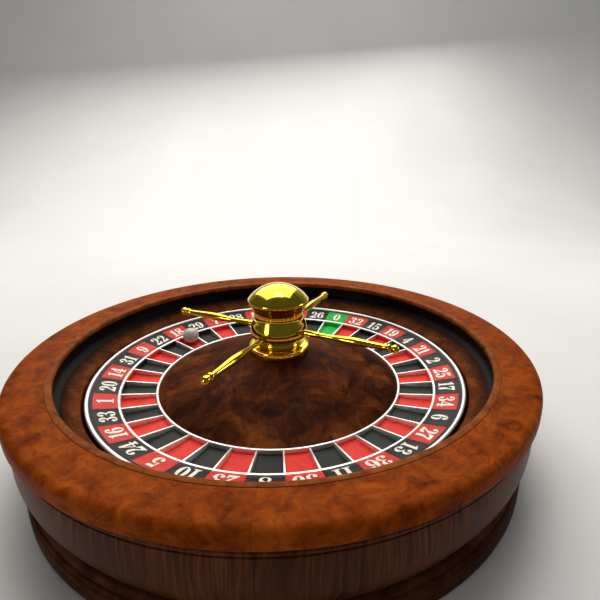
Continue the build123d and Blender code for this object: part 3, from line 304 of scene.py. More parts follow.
def mahogany(name, deep, middle, light, segments=0, figure=42.0, burr=0.5, roughness=0.42, painted_shade_span=None,
             clouds=0.0):
    """Lacquered mahogany. The fine grain follows the ring in glued segments, or runs straight
    where there are none; burr is how much the figure swirls and how many eyes it has, clouds
    how dark its broad patches go. A span of two distances from the axis, when given, darkens
    it towards the outer one: painted shade, such as an overhang casts."""
    made, shader, place = new_material(name)
    radius, turn, height = from_axis(made, place)
    if segments:
        share = sum_up(made, "MULTIPLY", turn, segments / TURN)
        number = sum_up(made, "FLOOR", share)
        offset = sum_up(made, "MULTIPLY", number, 7.31)
        arc = sum_up(made, "MULTIPLY", turn, 0.22)
        run = combine(made, sum_up(made, "ADD", radius, offset), arc, height)
    else:
        run = stretch(made, place, (0.8, 1, 1))
    swirl = swirling(made, place, figure * 0.5, 3.0)
    pulled = swirl_about(made, swirl, burr * 0.06, place)
    drawn = swirl_about(made, swirl, burr * 0.06, run)
    blotch = mottle(made, pulled, figure, 8, 0.62, 0.6)
    streak = mottle(made, stretch(made, drawn, (260, 26, 200)), 1.0, 5, 0.6, 0.8)
    tone = sum_up(made, "MULTIPLY_ADD", streak, 0.3, sum_up(made, "MULTIPLY", blotch, 0.84))
    shade = tint(made, tone, [(0.38, *deep), (0.55, *middle), (0.74, *light)])
    eyes = add_node(made, "TexVoronoi", {"Vector": pulled, "Scale": figure * 2.3, "Randomness": 1.0},
                    feature="F1").outputs["Distance"]
    knots = level(made, eyes, 0.03, 0.3, 1.0 - 0.6 * burr, 1.0)
    shade = darken(made, shade, knots)
    patches = mottle(made, pulled, figure * 0.45, 4, 0.5, 0.9)
    shade = darken(made, shade, level(made, patches, 0.4, 0.56, 1.0 - clouds, 1.0))
    pores = mottle(made, stretch(made, drawn, (2600, 240, 2200)), 1.0, 2, 0.5)
    specks = level(made, pores, 0.62, 0.72, 1.0, 0.6)
    shade = darken(made, shade, specks)
    if segments:
        shade = darken(made, shade, level(made, from_middle(made, share), 0.4985, 0.4995, 1.0, 0.72))
        shade = darken(made, shade, by_lot(made, number, 0.94, 1.03))
    # Painted shade: the wood darkens towards the outer of the two distances, as under an overhang.
    if painted_shade_span:
        shade = darken(made, shade, level(made, radius, *painted_shade_span, 1.0, 0.05))
    colour_surface(made, shader, shade, level(made, blotch, 0.3, 0.7, roughness * 0.85, roughness * 1.2))
    shader.inputs["Specular IOR Level"].default_value = 0.012
    relief(made, shader, sum_up(made, "MULTIPLY_ADD", specks, 0.4, streak), 0.00006, 0.25)
    return made


skirt_low, skirt_high = corners("base_moulding")
board_radius = corners("base_board")[1].x
skirt_radius, skirt_bottom, skirt_top = skirt_high.x, skirt_low.z, skirt_high.z
wall_foot = 236.0
skirt_outline = [
    (wall_foot, skirt_top), (board_radius, skirt_top), (board_radius, skirt_bottom),
    (skirt_radius, skirt_bottom), (skirt_radius, 17.2), (skirt_radius - 0.9, 17.9),
    *bend((skirt_radius - 0.9, 17.9), (skirt_radius - 0.2, 19.5), (skirt_radius - 1.4, 21),
          (skirt_radius - 3, 21.2)),
    (skirt_radius - 3.4, 22.2),
    *bend((skirt_radius - 3.4, 22.2), (skirt_radius - 3.8, 24.8), (wall_foot + 2.2, 26.2),
          (wall_foot, skirt_top)),
][:-1]
skirt_stain = mahogany("mahogany_skirt", (0.020, 0.006, 0.003), (0.055, 0.016, 0.006), (0.105, 0.034, 0.012),
                       segments=16, burr=0.25)
make_piece("turned_skirting", turned(skirt_outline, [(3, 1.4), (2, 0.6), (4, 0.4)]), "bowl", skirt_stain,
           "mahogany", "base_moulding")

# ---- outer wall ----
# Coopered from twenty-four mahogany staves and turned to a swelling outline, with a scratched
# bead near the top. The staves' grain stands upright, so their shades differ from one to the next.


def staves(name, deep, middle, light, count):
    """Upright lacquered staves: straight grain up each one, and a hairline glue joint between."""
    made, shader, place = new_material(name)
    _, turn, height = from_axis(made, place)
    share = sum_up(made, "MULTIPLY", turn, count / TURN)
    number = sum_up(made, "FLOOR", share)
    across = sum_up(made, "MULTIPLY_ADD", number, 5.17, sum_up(made, "MULTIPLY", turn, 0.244))
    along = combine(made, across, height, number)
    pulled = swirl_about(made, swirling(made, along, 14.0, 2.0), 0.016, along)
    streak = mottle(made, stretch(made, pulled, (420, 16, 1)), 1.0, 7, 0.62, 0.5)
    pores = mottle(made, stretch(made, pulled, (2600, 130, 1)), 1.0, 2, 0.5)
    specks = level(made, pores, 0.6, 0.7, 1.0, 0.5)
    shade = tint(made, streak, [(0.3, *deep), (0.5, *middle), (0.72, *light)])
    shade = darken(made, shade, specks)
    shade = darken(made, shade, by_lot(made, number, 0.72, 1.12))
    joint = level(made, from_middle(made, share), 0.494, 0.498, 1.0, 0.3)
    colour_surface(made, shader, darken(made, shade, joint), level(made, streak, 0.3, 0.7, 0.3, 0.42))
    shader.inputs["Specular IOR Level"].default_value = 0.06
    grain = sum_up(made, "ADD", specks, streak)
    relief(made, shader, sum_up(made, "MULTIPLY_ADD", joint, 1.5, grain), 0.00012, 0.4)
    return made


wall_low, wall_high = corners("bowl_wall")
wall_top_radius = 244.0
wall_inner = 222.0
board_top = corners("base_board")[1].z
wall_swell = wall_high.x
wall_outline = [
    (wall_top_radius, wall_high.z), (wall_inner, wall_high.z), (wall_inner, wall_low.z),
    (board_radius, board_top), (board_radius, skirt_top), (wall_foot, skirt_top),
    *bend((wall_foot, skirt_top), (wall_foot + 6.2, 38), (wall_swell + 0.3, 46), (wall_swell - 0.1, 60), 14),
    *bend((wall_swell - 0.1, 60), (wall_swell - 0.2, 66), (wall_swell - 0.6, 71),
          (wall_top_radius + 1.3, 75.4)),
    (wall_top_radius + 0.3, 75.9), (wall_top_radius + 0.3, 76.6),
    *bend((wall_top_radius + 0.3, 76.6), (wall_top_radius + 2.2, 77), (wall_top_radius + 2.2, 80),
          (wall_top_radius + 0.2, 80.4), 6),
    (wall_top_radius - 0.2, 81.2),
]
wall_staves = staves("mahogany_staves", (0.030, 0.008, 0.003), (0.085, 0.024, 0.008), (0.17, 0.055, 0.018),
                     count=24)
make_piece("coopered_wall", turned(wall_outline), "bowl", wall_staves, "mahogany", "bowl_wall")

# ---- broad rim ----
# Flat mahogany ring with a rolled outer edge, built from eight segments under burr veneer and
# lacquered. Its inner edge is rebated for the lip.
rim_low, rim_high = corners("bowl_rim")
rim_radius, rim_bottom, rim_top = rim_high.x, rim_low.z, rim_high.z
lip_box_low, lip_box_high = corners("rim_lip")
rim_inner, track_top = lip_box_high.x, lip_box_low.z
rim_fall = 1.0
rim_outline = [
    (rim_inner, rim_top - rim_fall), (rim_inner, track_top), (wall_inner, track_top),
    (wall_inner, rim_bottom), (rim_radius, rim_bottom), (rim_radius, rim_top),
]
rim_burr = mahogany("mahogany_burr", (0.085, 0.014, 0.0015), (0.21, 0.038, 0.003), (0.34, 0.070, 0.006),
                    segments=8, figure=58, burr=0.55)
make_piece("burr_rim", turned(rim_outline, [(5, 6.0), (4, 3.0), (0, 0.4)], ease_segments=8), "bowl", rim_burr,
           "mahogany_burr", "bowl_rim")

# ---- rounded lip ----
# Half-round hardwood bead let into the rim. It overhangs the track and keeps the ball in;
# years of hands have polished it a little brighter than the rim.
lip_nose = 211.0
lip_top = lip_box_high.z
lip_round = (lip_top - track_top) / 2
lip_outline = [
    (rim_inner, lip_top), (rim_inner, track_top), (lip_nose + lip_round, track_top),
    *bend((lip_nose + lip_round, track_top), (lip_nose + 0.3, track_top), (lip_nose, track_top + 1.2),
          (lip_nose, track_top + lip_round), 6),
    *bend((lip_nose, track_top + lip_round), (lip_nose, lip_top - 1.2), (lip_nose + 0.3, lip_top),
          (lip_nose + lip_round, lip_top), 6),
]
lip_wood = mahogany("mahogany_lip", (0.075, 0.018, 0.005), (0.20, 0.050, 0.010), (0.30, 0.085, 0.018),
                    segments=8, figure=70, burr=0.2, roughness=0.3)
make_piece("rounded_lip", turned(lip_outline, [(0, 0.3)]), "bowl", lip_wood, "mahogany_lip", "rim_lip")

# ---- ball track ----
# Upright wall and cove that the ball runs against, stained black over hardwood and lacquered
# hard. The ball's path has dulled a band round it.


def track_lacquer():
    """Black stained hardwood with a brown heart, dulled where the ball runs."""
    made, shader, place = new_material("black_track")
    radius, turn, height = from_axis(made, place)
    run = combine(made, radius, sum_up(made, "MULTIPLY", turn, 0.21), height)
    streak = mottle(made, stretch(made, run, (500, 14, 500)), 1.0, 6, 0.6)
    scuffs = mottle(made, stretch(made, run, (2200, 40, 2200)), 1.0, 4, 0.7)
    black = tint(made, streak, [(0.35, 0.0025, 0.0016, 0.0012), (0.7, 0.010, 0.0048, 0.003)])
    colour_surface(made, shader, black, level(made, scuffs, 0.35, 0.7, 0.40, 0.56))
    shader.inputs["Specular IOR Level"].default_value = 0.05
    relief(made, shader, scuffs, 0.00005, 0.3)
    return made


track_radius = 215.5
apron_high = corners("apron")[1].z
track_foot = 208.5
cove_top = apron_high + 7
apron_seat = apron_high - 4         # the apron's edge is let in under the track
track_outline = [
    (track_radius, track_top), (wall_inner, track_top), (wall_inner, apron_seat), (track_foot, apron_seat),
    (track_foot, apron_high),
    *bend((track_foot, apron_high), (track_foot + 3.6, apron_high + 2.1),
          (track_radius - 0.4, apron_high + 2.4), (track_radius, cove_top), 10),
]
make_piece("lacquered_track", turned(track_outline), "bowl", track_lacquer(), "black_lacquer_wood",
           "ball_track")

# ---- apron ----
# Burr veneer over a turned cone that brings the ball down to the rotor. Its colours are a darker
# copy of the rim's burr, as painted shade, and painted shade under the overhanging lip darkens it
# further towards the track; a small rolled edge stands over the rotor's running gap.
apron_low, apron_radius = corners("apron")[0].z, 193.0
apron_edge = apron_high - 8.6
apron_outline = [
    (apron_radius, apron_edge), (track_foot, apron_high), (track_foot, apron_seat), (wall_inner, apron_seat),
    (wall_inner, apron_low), (apron_radius, apron_low),
]
# Painted shade: colours darker than the rim's burr, and near black from 198 to 209.5 mm out.
apron_burr_painted_shade = mahogany("burr_apron_painted_shade", (0.036, 0.008, 0.002), (0.105, 0.026, 0.005), (0.20, 0.052, 0.011),
                      segments=12, figure=64, burr=0.6, painted_shade_span=(0.198, 0.2095), clouds=0.2)
make_piece("veneered_apron", turned(apron_outline, [(0, 0.9)]), "bowl", apron_burr_painted_shade, "mahogany_burr_dark",
           "apron")

# ---- rotor well, spindle and bearings ----
# Inside the bowl, out of sight: the well's stained ring, the screwed steel plate and spindle,
# two ball bearings with brass cages, and the aluminium hub that hangs on them.
machined_steel = worked_metal("machined_steel", (0.34, 0.34, 0.35), (0.52, 0.52, 0.53), 0.42, 0.24, 0.5)
bearing_steel = worked_metal("bearing_steel", (0.55, 0.56, 0.58), (0.70, 0.71, 0.72), 0.2, 0.08, 0.2)
cage_brass = worked_metal("cage_brass", (0.52, 0.34, 0.09), (0.72, 0.50, 0.16), 0.4, 0.25)
machined_aluminium = worked_metal("machined_aluminium", (0.66, 0.67, 0.68), (0.82, 0.82, 0.82), 0.45, 0.28,
                                  lines=0.6)
spring_steel = worked_metal("spring_steel", (0.10, 0.10, 0.11), (0.20, 0.20, 0.22), 0.5, 0.3)
stained_ply = plywood("stained_plywood", (0.23, 0.12, 0.05), (0.16, 0.08, 0.03), (0.08, 0.035, 0.014))
keep_shape(stained_ply, "rotor_well", "rotor_disc")
keep_shape(machined_steel, "spindle_plate", "spindle", "spindle_washer", "spindle_nut", "spindle_top_nut",
           "bearing_spacer", "tie_rod")
keep_shape(bearing_steel, "lower_bearing_inner_ring", "upper_bearing_inner_ring", "lower_bearing_outer_ring",
           "upper_bearing_outer_ring", "bearing_balls")
keep_shape(zinc_steel, "plate_screws", "hub_screws", "cone_screws", "ring_screws")
keep_shape(cage_brass, "bearing_cages")
keep_shape(machined_aluminium, "rotor_hub")
keep_shape(spring_steel, "bearing_circlip")

# ---- edge band and number ring ----
# Black lacquered rings turned from dense board: the band closes the rotor's edge, and the
# number ring slopes down from it to the pockets and carries the coloured plates.


def black_lacquer():
    """Polished black lacquer with faint wiping marks."""
    made, shader, place = new_material("black_lacquer")
    haze = mottle(made, place, 130, 6, 0.6)
    black = tint(made, haze, [(0.3, 0.0075, 0.0070, 0.0065), (0.75, 0.019, 0.0175, 0.016)])
    colour_surface(made, shader, black, level(made, haze, 0.3, 0.7, 0.34, 0.48))
    shader.inputs["Specular IOR Level"].default_value = 0.12
    relief(made, shader, mottle(made, place, 900, 3), 0.00005, 0.25)
    return made


lacquer = black_lacquer()
band_low, band_high = corners("edge_band")
disc_high = corners("rotor_disc")[1]
ring_high = corners("number_ring")[1].z
rotor_radius, disc_radius, bead_seat = band_high.x, disc_high.x, 186.7
band_outline = [(disc_radius, band_low.z), (rotor_radius, band_low.z), (rotor_radius, band_high.z),
                (bead_seat, band_high.z), (disc_radius, ring_high)]
make_piece("rotor_edge_band", turned(band_outline, [(1, 0.8), (2, 0.3)]), "rotor", lacquer, "black_lacquer",
           "edge_band")

plate_inner, plate_outer, plate_thickness = 162.3, 183.6, 0.6
plate_low = corners("outer_fret_ring")[1].z
fret_ring_top = 62.6
plate_top = corners("number_plates_red")[1].z
number_ring_outline = [(plate_inner, disc_high.z), (disc_radius, disc_high.z), (disc_radius, ring_high),
                       (plate_outer, plate_top), (plate_outer, plate_top - plate_thickness),
                       (plate_inner, fret_ring_top - plate_thickness)]
make_piece("turned_number_ring", turned(number_ring_outline), "rotor", lacquer, "black_lacquer",
           "number_ring")

# ---- polished rings ----
# Three rings of polished nickel silver pressed into the rotor: the bead at its edge, the ring
# between numbers and pockets, and the ring round the cone. Each is rounded on top.


def polished_silver():
    """Bright nickel silver: near-white, with hair-fine turning rings and a few dull patches."""
    made, shader, place = new_material("polished_silver")
    radius, turn, height = from_axis(made, place)
    across = combine(made, radius, sum_up(made, "MULTIPLY", turn, 0.004), height)
    rings = mottle(made, across, 4200, 2, 0.6)
    patches = mottle(made, place, 75, 5)
    polish = sum_up(made, "ADD", rings, patches)
    colour_surface(made, shader, tint(made, patches, [(0.3, 0.88, 0.87, 0.83), (0.7, 0.96, 0.95, 0.91)]),
                   level(made, polish, 0.7, 1.3, 0.24, 0.38))
    shader.inputs["Metallic"].default_value = 0.6
    relief(made, shader, rings, 0.00002, 0.3)
    return made


silver = polished_silver()
bead_low, bead_high = corners("outer_bead")
bead_width, bead_shoulder = bead_high.x - bead_seat, 0.6
bead_outline = [
    (bead_seat, bead_low.z), (bead_high.x, bead_low.z), (bead_high.x, bead_low.z + bead_shoulder),
    *bend((bead_high.x, bead_low.z + bead_shoulder), (bead_high.x, bead_high.z - 0.35),
          (bead_high.x - 0.7, bead_high.z), (bead_high.x - bead_width / 2, bead_high.z), 6),
    *bend((bead_high.x - bead_width / 2, bead_high.z), (bead_seat + 0.7, bead_high.z),
          (bead_seat, bead_high.z - 0.35), (bead_seat, bead_low.z + bead_shoulder), 6),
]
make_piece("polished_edge_bead", turned(bead_outline), "rotor", silver, "polished_silver", "outer_bead")

pocket_outer, pocket_inner, cone_radius = 160.0, 127.6, corners("rotor_cone")[1].x
fret_top = corners("frets")[1].z
outer_ring_outline = [
    (pocket_outer, disc_high.z), (plate_inner, disc_high.z), (plate_inner, fret_ring_top),
    *bend((plate_inner, fret_ring_top), (plate_inner - 0.3, plate_low + 0.1),
          (pocket_outer + 1.0, plate_low + 0.1), (pocket_outer + 0.7, plate_low - 0.1), 4),
    *bend((pocket_outer + 0.7, plate_low - 0.1), (pocket_outer + 0.3, plate_low - 0.2),
          (pocket_outer, fret_top + 0.3), (pocket_outer, fret_top), 4),
]
make_piece("number_fret_ring", turned(outer_ring_outline), "rotor", silver, "polished_silver",
           "outer_fret_ring")

inner_ring_top = corners("inner_fret_ring")[1].z
inner_ring_outline = [
    (cone_radius, disc_high.z), (pocket_inner, disc_high.z), (pocket_inner, inner_ring_top - 0.8),
    *bend((pocket_inner, inner_ring_top - 0.8), (pocket_inner, inner_ring_top - 0.2),
          (pocket_inner - 0.5, inner_ring_top), (pocket_inner - 1.3, inner_ring_top), 4),
    *bend((pocket_inner - 1.3, inner_ring_top), (cone_radius + 0.6, inner_ring_top),
          (cone_radius, inner_ring_top - 0.5), (cone_radius, inner_ring_top - 1.1), 4),
]
make_piece("cone_fret_ring", turned(inner_ring_outline), "rotor", silver, "polished_silver",
           "inner_fret_ring")

# ---- number plates ----
# Thin enamelled plates let into the number ring, one for each pocket, red and black in turn
# and one green. Their edges are eased a little, so a hairline shows between neighbours.
EASED_EDGE = math.radians(30)
POCKETS = 37
PITCH = TURN / POCKETS
ZERO_AT = math.radians(65.55)
PLATE_GAP = 0.0008          # hairline between two plates, in radians
NUMBERS = [0, 32, 15, 19, 4, 21, 2, 25, 17, 34, 6, 27, 13, 36, 11, 30, 8, 23, 10,
           5, 24, 16, 33, 1, 20, 14, 31, 9, 22, 18, 29, 7, 28, 12, 35, 3, 26]
RED, BLACK, GREEN = range(1, POCKETS, 2), range(2, POCKETS, 2), range(1)


def pocket_middle(place):
    """Direction of a pocket's middle; places run clockwise from the zero."""
    return ZERO_AT - place * PITCH


def enamel(name, dark, light, gloss=0.3):
    """Fired enamel: slightly uneven colour, orange-peel surface, dull rubbed patches."""
    made, shader, place = new_material(name)
    uneven = mottle(made, place, 110, 7, 0.6, 0.5)
    grit = mottle(made, place, 1500, 3, 0.6)
    colour = tint(made, uneven, [(0.3, *dark), (0.7, *light)])
    colour_surface(made, shader, darken(made, colour, level(made, grit, 0.3, 0.7, 0.9, 1.05)),
                   level(made, uneven, 0.3, 0.7, gloss, gloss + 0.16))
    shader.inputs["Specular IOR Level"].default_value = 0.12
    relief(made, shader, mottle(made, place, 650, 2), 0.00006, 0.35)
    return made


def verts_of(geometry):
    """The corners among a blank's parts."""
    return [part for part in geometry if isinstance(part, bmesh.types.BMVert)]


def repeat_round(blank, places, spread=0.0):
    """Copies a blank made along +X to each of the given pockets, or to the joints after them."""
    geometry = blank.verts[:] + blank.edges[:] + blank.faces[:]
    for place in places:
        copied = bmesh.ops.duplicate(blank, geom=geometry)["geom"]
        rotate(blank, pocket_middle(place + spread), verts_of(copied))
    bmesh.ops.delete(blank, geom=verts_of(geometry), context="VERTS")
    return blank


def sector(outline, width, rounding, steps=6):
    """A slice of a turned ring, centred on +X, with all its edges eased."""
    blank = turned(outline, steps=steps, turn=width)
    open_ends = [edge for edge in blank.edges if edge.is_boundary]
    bmesh.ops.holes_fill(blank, edges=open_ends, sides=0)
    rotate(blank, -width / 2)
    bmesh.ops.recalc_face_normals(blank, faces=blank.faces)
    sharp = [edge for edge in blank.edges if edge.calc_face_angle(0) > EASED_EDGE]
    bmesh.ops.bevel(blank, geom=sharp, offset=rounding * MM, offset_type="OFFSET", segments=2, profile=0.5,
                    affect="EDGES", material=-1)
    return blank


plate_outline = [(plate_inner, fret_ring_top - plate_thickness), (plate_outer, plate_top - plate_thickness),
                 (plate_outer, plate_top), (plate_inner, fret_ring_top)]
red_enamel = enamel("red_enamel", (0.50, 0.026, 0.017), (0.72, 0.048, 0.030))
black_enamel = enamel("black_enamel", (0.010, 0.0095, 0.009), (0.024, 0.022, 0.020))
green_enamel = enamel("green_enamel", (0.010, 0.33, 0.035), (0.022, 0.50, 0.060))
for colour, material, places, node in (
        ("red", red_enamel, RED, "number_plates_red"), ("black", black_enamel, BLACK, "number_plates_black"),
        ("green", green_enamel, GREEN, "number_plate_green")):
    plates = repeat_round(sector(plate_outline, PITCH - PLATE_GAP, 0.12), places)
    make_piece(f"enamel_plates_{colour}", plates, "rotor", material, f"{colour}_enamel", node)

# ---- numerals ----
# Bold roman numerals, thick and thin strokes with serifs, screen-printed in cream enamel that
# stands a little proud of the plates. Their heads point outwards.
FIGURE_HEIGHT = 15.2 * MM
FIGURE_GAP = 0.055          # between two figures, as a share of their height
PAINT_DEPTH = 0.16 * MM
ROUND_PULL = 0.55

# Each figure is one unit tall. A point is (x, y, kind): C is a corner, H and V are points on a
# curve that runs level or upright there. The second outline and those after it are counters.
C, H, V = "chv"
FIGURES = {
    "0": [[(0, .5, V), (.31, 1, H), (.62, .5, V), (.31, 0, H)],
          [(.215, .5, V), (.31, .935, H), (.405, .5, V), (.31, .065, H)]],
    "1": [[(.03, 0, C), (.03, .055, C), (.14, .085, C), (.14, .80, C), (.02, .775, C), (.02, .835, C),
           (.27, 1, C), (.345, 1, C), (.345, .085, C), (.455, .055, C), (.455, 0, C)]],
    "2": [[(.01, 0, C), (.01, .06, C), (.385, .73, V), (.275, .945, H), (.205, .87, C), (.255, .765, V),
           (.145, .655, H), (.03, .77, V), (.31, 1, H), (.595, .735, V), (.22, .195, C), (.42, .195, H),
           (.535, .30, C), (.60, .30, C), (.55, 0, C)]],
    "3": [[(.02, .215, V), (.135, .325, H), (.245, .22, V), (.20, .115, C), (.275, .055, H),
           (.385, .275, V), (.27, .495, H), (.19, .495, C), (.19, .555, C), (.265, .555, H),
           (.365, .755, V), (.265, .945, H), (.205, .88, C), (.25, .785, V), (.145, .68, H),
           (.04, .79, V), (.29, 1, H), (.56, .76, V), (.39, .53, C), (.59, .27, V), (.285, 0, H)]],
    "4": [[(0, .255, C), (0, .33, C), (.37, 1, C), (.495, 1, C), (.495, .335, C), (.62, .335, C),
           (.62, .255, C), (.495, .255, C), (.495, .085, C), (.585, .055, C), (.585, 0, C),
           (.205, 0, C), (.205, .055, C), (.30, .085, C), (.30, .255, C)],
          [(.075, .335, C), (.30, .335, C), (.30, .745, C)]],
    "5": [[(.075, 1, C), (.525, 1, C), (.49, .80, C), (.135, .80, C), (.135, .585, C), (.315, .645, H),
           (.585, .325, V), (.28, 0, H), (.02, .20, V), (.135, .31, H), (.245, .205, V),
           (.20, .11, C), (.28, .055, H), (.375, .32, V), (.26, .575, H), (.13, .475, C),
           (.075, .475, C)]],
    "6": [[(0, .44, V), (.33, 1, H), (.565, .80, V), (.455, .69, H), (.35, .79, V), (.385, .895, C),
           (.33, .945, H), (.205, .54, C), (.36, .625, H), (.60, .31, V), (.31, 0, H)],
          [(.205, .31, V), (.30, .565, H), (.395, .31, V), (.30, .055, H)]],
    "7": [[(.02, .67, C), (.06, 1, C), (.585, 1, C), (.585, .94, C), (.345, .25, V), (.345, 0, C),
           (.125, 0, C), (.125, .22, V), (.43, .81, C), (.20, .81, H), (.085, .67, C)]],
    "8": [[(0, .255, V), (.16, .53, C), (.035, .755, V), (.30, 1, H), (.565, .76, V), (.44, .545, C),
           (.60, .275, V), (.30, 0, H)],
          [(.185, .79, V), (.305, .945, H), (.42, .765, V), (.36, .60, C), (.225, .67, C)],
          [(.165, .245, V), (.235, .46, C), (.39, .34, C), (.43, .215, V), (.29, .055, H)]],
}
FIGURES["9"] = [[(.60 - x, 1 - y, kind) for x, y, kind in outline] for outline in FIGURES["6"]]


def pull(point, kind, neighbour):
    """Where a curve's handle stands, between a point and its neighbour."""
    across, up = neighbour[0] - point[0], neighbour[1] - point[1]
    if kind == H:
        return point[0] + across * ROUND_PULL, point[1]
    if kind == V:
        return point[0], point[1] + up * ROUND_PULL
    return point[0] + across / 3, point[1] + up / 3


def figure_mesh(figure):
    """One printed figure as a flat solid, its left foot at the origin."""
    curve = bpy.data.curves.new("figure_" + figure, "CURVE")
    curve.dimensions = "2D"
    curve.fill_mode = "BOTH"
    curve.resolution_u = 5
    curve.extrude = PAINT_DEPTH / FIGURE_HEIGHT / 2
    for outline in FIGURES[figure]:
        spline = curve.splines.new("BEZIER")
        spline.bezier_points.add(len(outline) - 1)
        spline.use_cyclic_u = True
        for place, (x, y, kind) in enumerate(outline):
            knot = spline.bezier_points[place]
            knot.handle_left_type = knot.handle_right_type = "FREE"
            knot.co = (x, y, 0)
            knot.handle_left = (*pull((x, y), kind, outline[place - 1]), 0)
            knot.handle_right = (*pull((x, y), kind, outline[(place + 1) % len(outline)]), 0)
    printed = bpy.data.objects.new(curve.name, curve)
    mesh = bpy.data.meshes.new_from_object(printed)
    bpy.data.objects.remove(printed)
    return mesh


def cream_paint():
    """Screen-printed cream enamel, thin at places."""
    made, shader, place = new_material("cream_paint")
    thin = mottle(made, place, 420, 5, 0.6)
    cream = tint(made, thin, [(0.28, 0.66, 0.62, 0.50), (0.55, 0.86, 0.83, 0.72), (0.8, 0.92, 0.90, 0.80)])
    colour_surface(made, shader, cream, level(made, thin, 0.3, 0.7, 0.5, 0.36))
    relief(made, shader, mottle(made, place, 1800, 3), 0.00004, 0.4)
    return made


figures = {figure: figure_mesh(figure) for figure in FIGURES}
widths = {figure: max(x for x, _, _ in FIGURES[figure][0]) for figure in FIGURES}
plate_slope = math.atan2(plate_top - fret_ring_top, plate_outer - plate_inner)
plate_middle = (plate_inner + plate_outer) / 2
plate_surface = (plate_top + fret_ring_top) / 2
numerals = bmesh.new()
for place, number in enumerate(NUMBERS):
    text = str(number)
    width = sum(widths[figure] for figure in text) + FIGURE_GAP * (len(text) - 1)
    lie = (Matrix.Rotation(pocket_middle(place), 4, "Z")
           @ Matrix.Translation((plate_middle * MM, 0, plate_surface * MM + PAINT_DEPTH * 0.25))
           @ Matrix.Rotation(-plate_slope, 4, "Y") @ Matrix.Rotation(-TURN / 4, 4, "Z")
           @ Matrix.Scale(FIGURE_HEIGHT, 4))
    left = -width / 2
    for figure in text:
        before = len(numerals.verts)
        numerals.from_mesh(figures[figure])
        numerals.verts.ensure_lookup_table()
        bmesh.ops.transform(numerals, matrix=lie @ Matrix.Translation((left, -0.5, 0)),
                            verts=numerals.verts[before:])
        left += widths[figure] + FIGURE_GAP
bmesh.ops.remove_doubles(numerals, verts=numerals.verts, dist=WELD)
make_piece("printed_numerals", numerals, "rotor", cream_paint(), "ball_ivory")

# ---- pockets ----
# Between the two fret rings: a lacquered bed, a coloured floor pad and back plate in each
# pocket, and thirty-seven polished frets pressed into the bed between them.
pocket_red = enamel("pocket_red", (0.62, 0.030, 0.020), (0.86, 0.052, 0.034), 0.38)
pocket_black = enamel("pocket_black", (0.016, 0.017, 0.015), (0.036, 0.038, 0.033), 0.42)
pocket_green = enamel("pocket_green", (0.012, 0.38, 0.045), (0.026, 0.56, 0.075), 0.38)
keep_shape(lacquer, "pocket_bed")
for colour, material in (("red", pocket_red), ("black", pocket_black), ("green", pocket_green)):
    keep_shape(material, f"pocket_floors_{colour}", f"pocket_backs_{colour}")

fret_low = corners("pocket_bed")[1].z - 2
fret_inner_top, fret_width = 57.5, 0.01       # the width is in radians
fret_outline = [(pocket_inner, fret_low - 2), (pocket_outer, fret_low), (pocket_outer, fret_top),
                (pocket_inner, fret_inner_top)]
all_frets = repeat_round(sector(fret_outline, fret_width, 0.3, steps=1), range(POCKETS), spread=0.5)
make_piece("polished_frets", all_frets, "rotor", silver, "polished_silver", "frets")

# ---- cone ----
# The rotor's slightly domed middle, turned from one blank under burr mahogany veneer and
# lacquered; screwed from below.
cone_high = corners("rotor_cone")[1]
foot_low, foot_high = corners("turret_foot")
rod_radius, hub_radius = 5.0, 22.0
hub_top = corners("rotor_hub")[1].z
cone_edge = inner_ring_top - 1.1
cone_seat = 31.5
cone_outline = [
    (cone_seat, cone_high.z), (rod_radius, cone_high.z), (rod_radius, hub_top), (hub_radius, hub_top),
    (hub_radius, disc_high.z), (cone_radius, disc_high.z), (cone_radius, cone_edge),
    *bend((cone_radius, cone_edge), (cone_radius - 32, cone_edge + 14), (cone_seat + 30, cone_high.z - 8.2),
          (cone_seat, cone_high.z), 24),
][:-1]
cone_burr = mahogany("cone_burr", (0.020, 0.0045, 0.0015), (0.082, 0.019, 0.004), (0.21, 0.055, 0.011),
                     figure=34, burr=1.0, clouds=0.62)
make_piece("burr_cone", turned(cone_outline), "rotor", cone_burr, "mahogany_cone", "rotor_cone")

# ---- turret ----
# Turned brass, polished and lacquered: foot, hollow neck, swelling middle, upper neck, collar
# and dome, stacked on the tie rod and clamped by it.
TURRET_STEPS = 160


def polished_brass(name, axis_rings=True):
    """Lacquered brass with slightly tarnished patches. Pieces turned about the wheel's axis also
    have hair-fine turning rings."""
    made, shader, place = new_material(name)
    radius, _, height = from_axis(made, place)
    across = combine(made, radius, 0, height)
    rings = mottle(made, across if axis_rings else place, 2400, 3, 0.6)
    patches = mottle(made, place, 60, 6, 0.6, 0.4)
    shade = tint(made, patches, [(0.3, 0.70, 0.49, 0.030), (0.5, 0.82, 0.60, 0.042),
                                 (0.75, 0.90, 0.70, 0.060)])
    polish = sum_up(made, "ADD", rings, patches)
    colour_surface(made, shader, shade, level(made, polish, 0.7, 1.3, 0.06, 0.15))
    shader.inputs["Metallic"].default_value = 1.0
    if axis_rings:
        relief(made, shader, rings, 0.000006, 0.25)
    return made


brass = polished_brass("polished_brass")


def turret_piece(part, outline, eased=()):
    """One turned brass piece of the turret, bored for the tie rod."""
    make_piece(f"brass_{part}", turned(outline, eased, TURRET_STEPS), "rotor", brass, "polished_brass",
               f"turret_{part}")


foot_radius, foot_neck = foot_high.x, 28.0
turret_piece("foot", [
    (rod_radius, foot_high.z), (rod_radius, foot_low.z), (foot_radius, foot_low.z),
    (foot_radius, foot_low.z + 7.2), (foot_neck, foot_high.z),
], [(2, 0.25), (3, 1.2), (4, 0.3)])

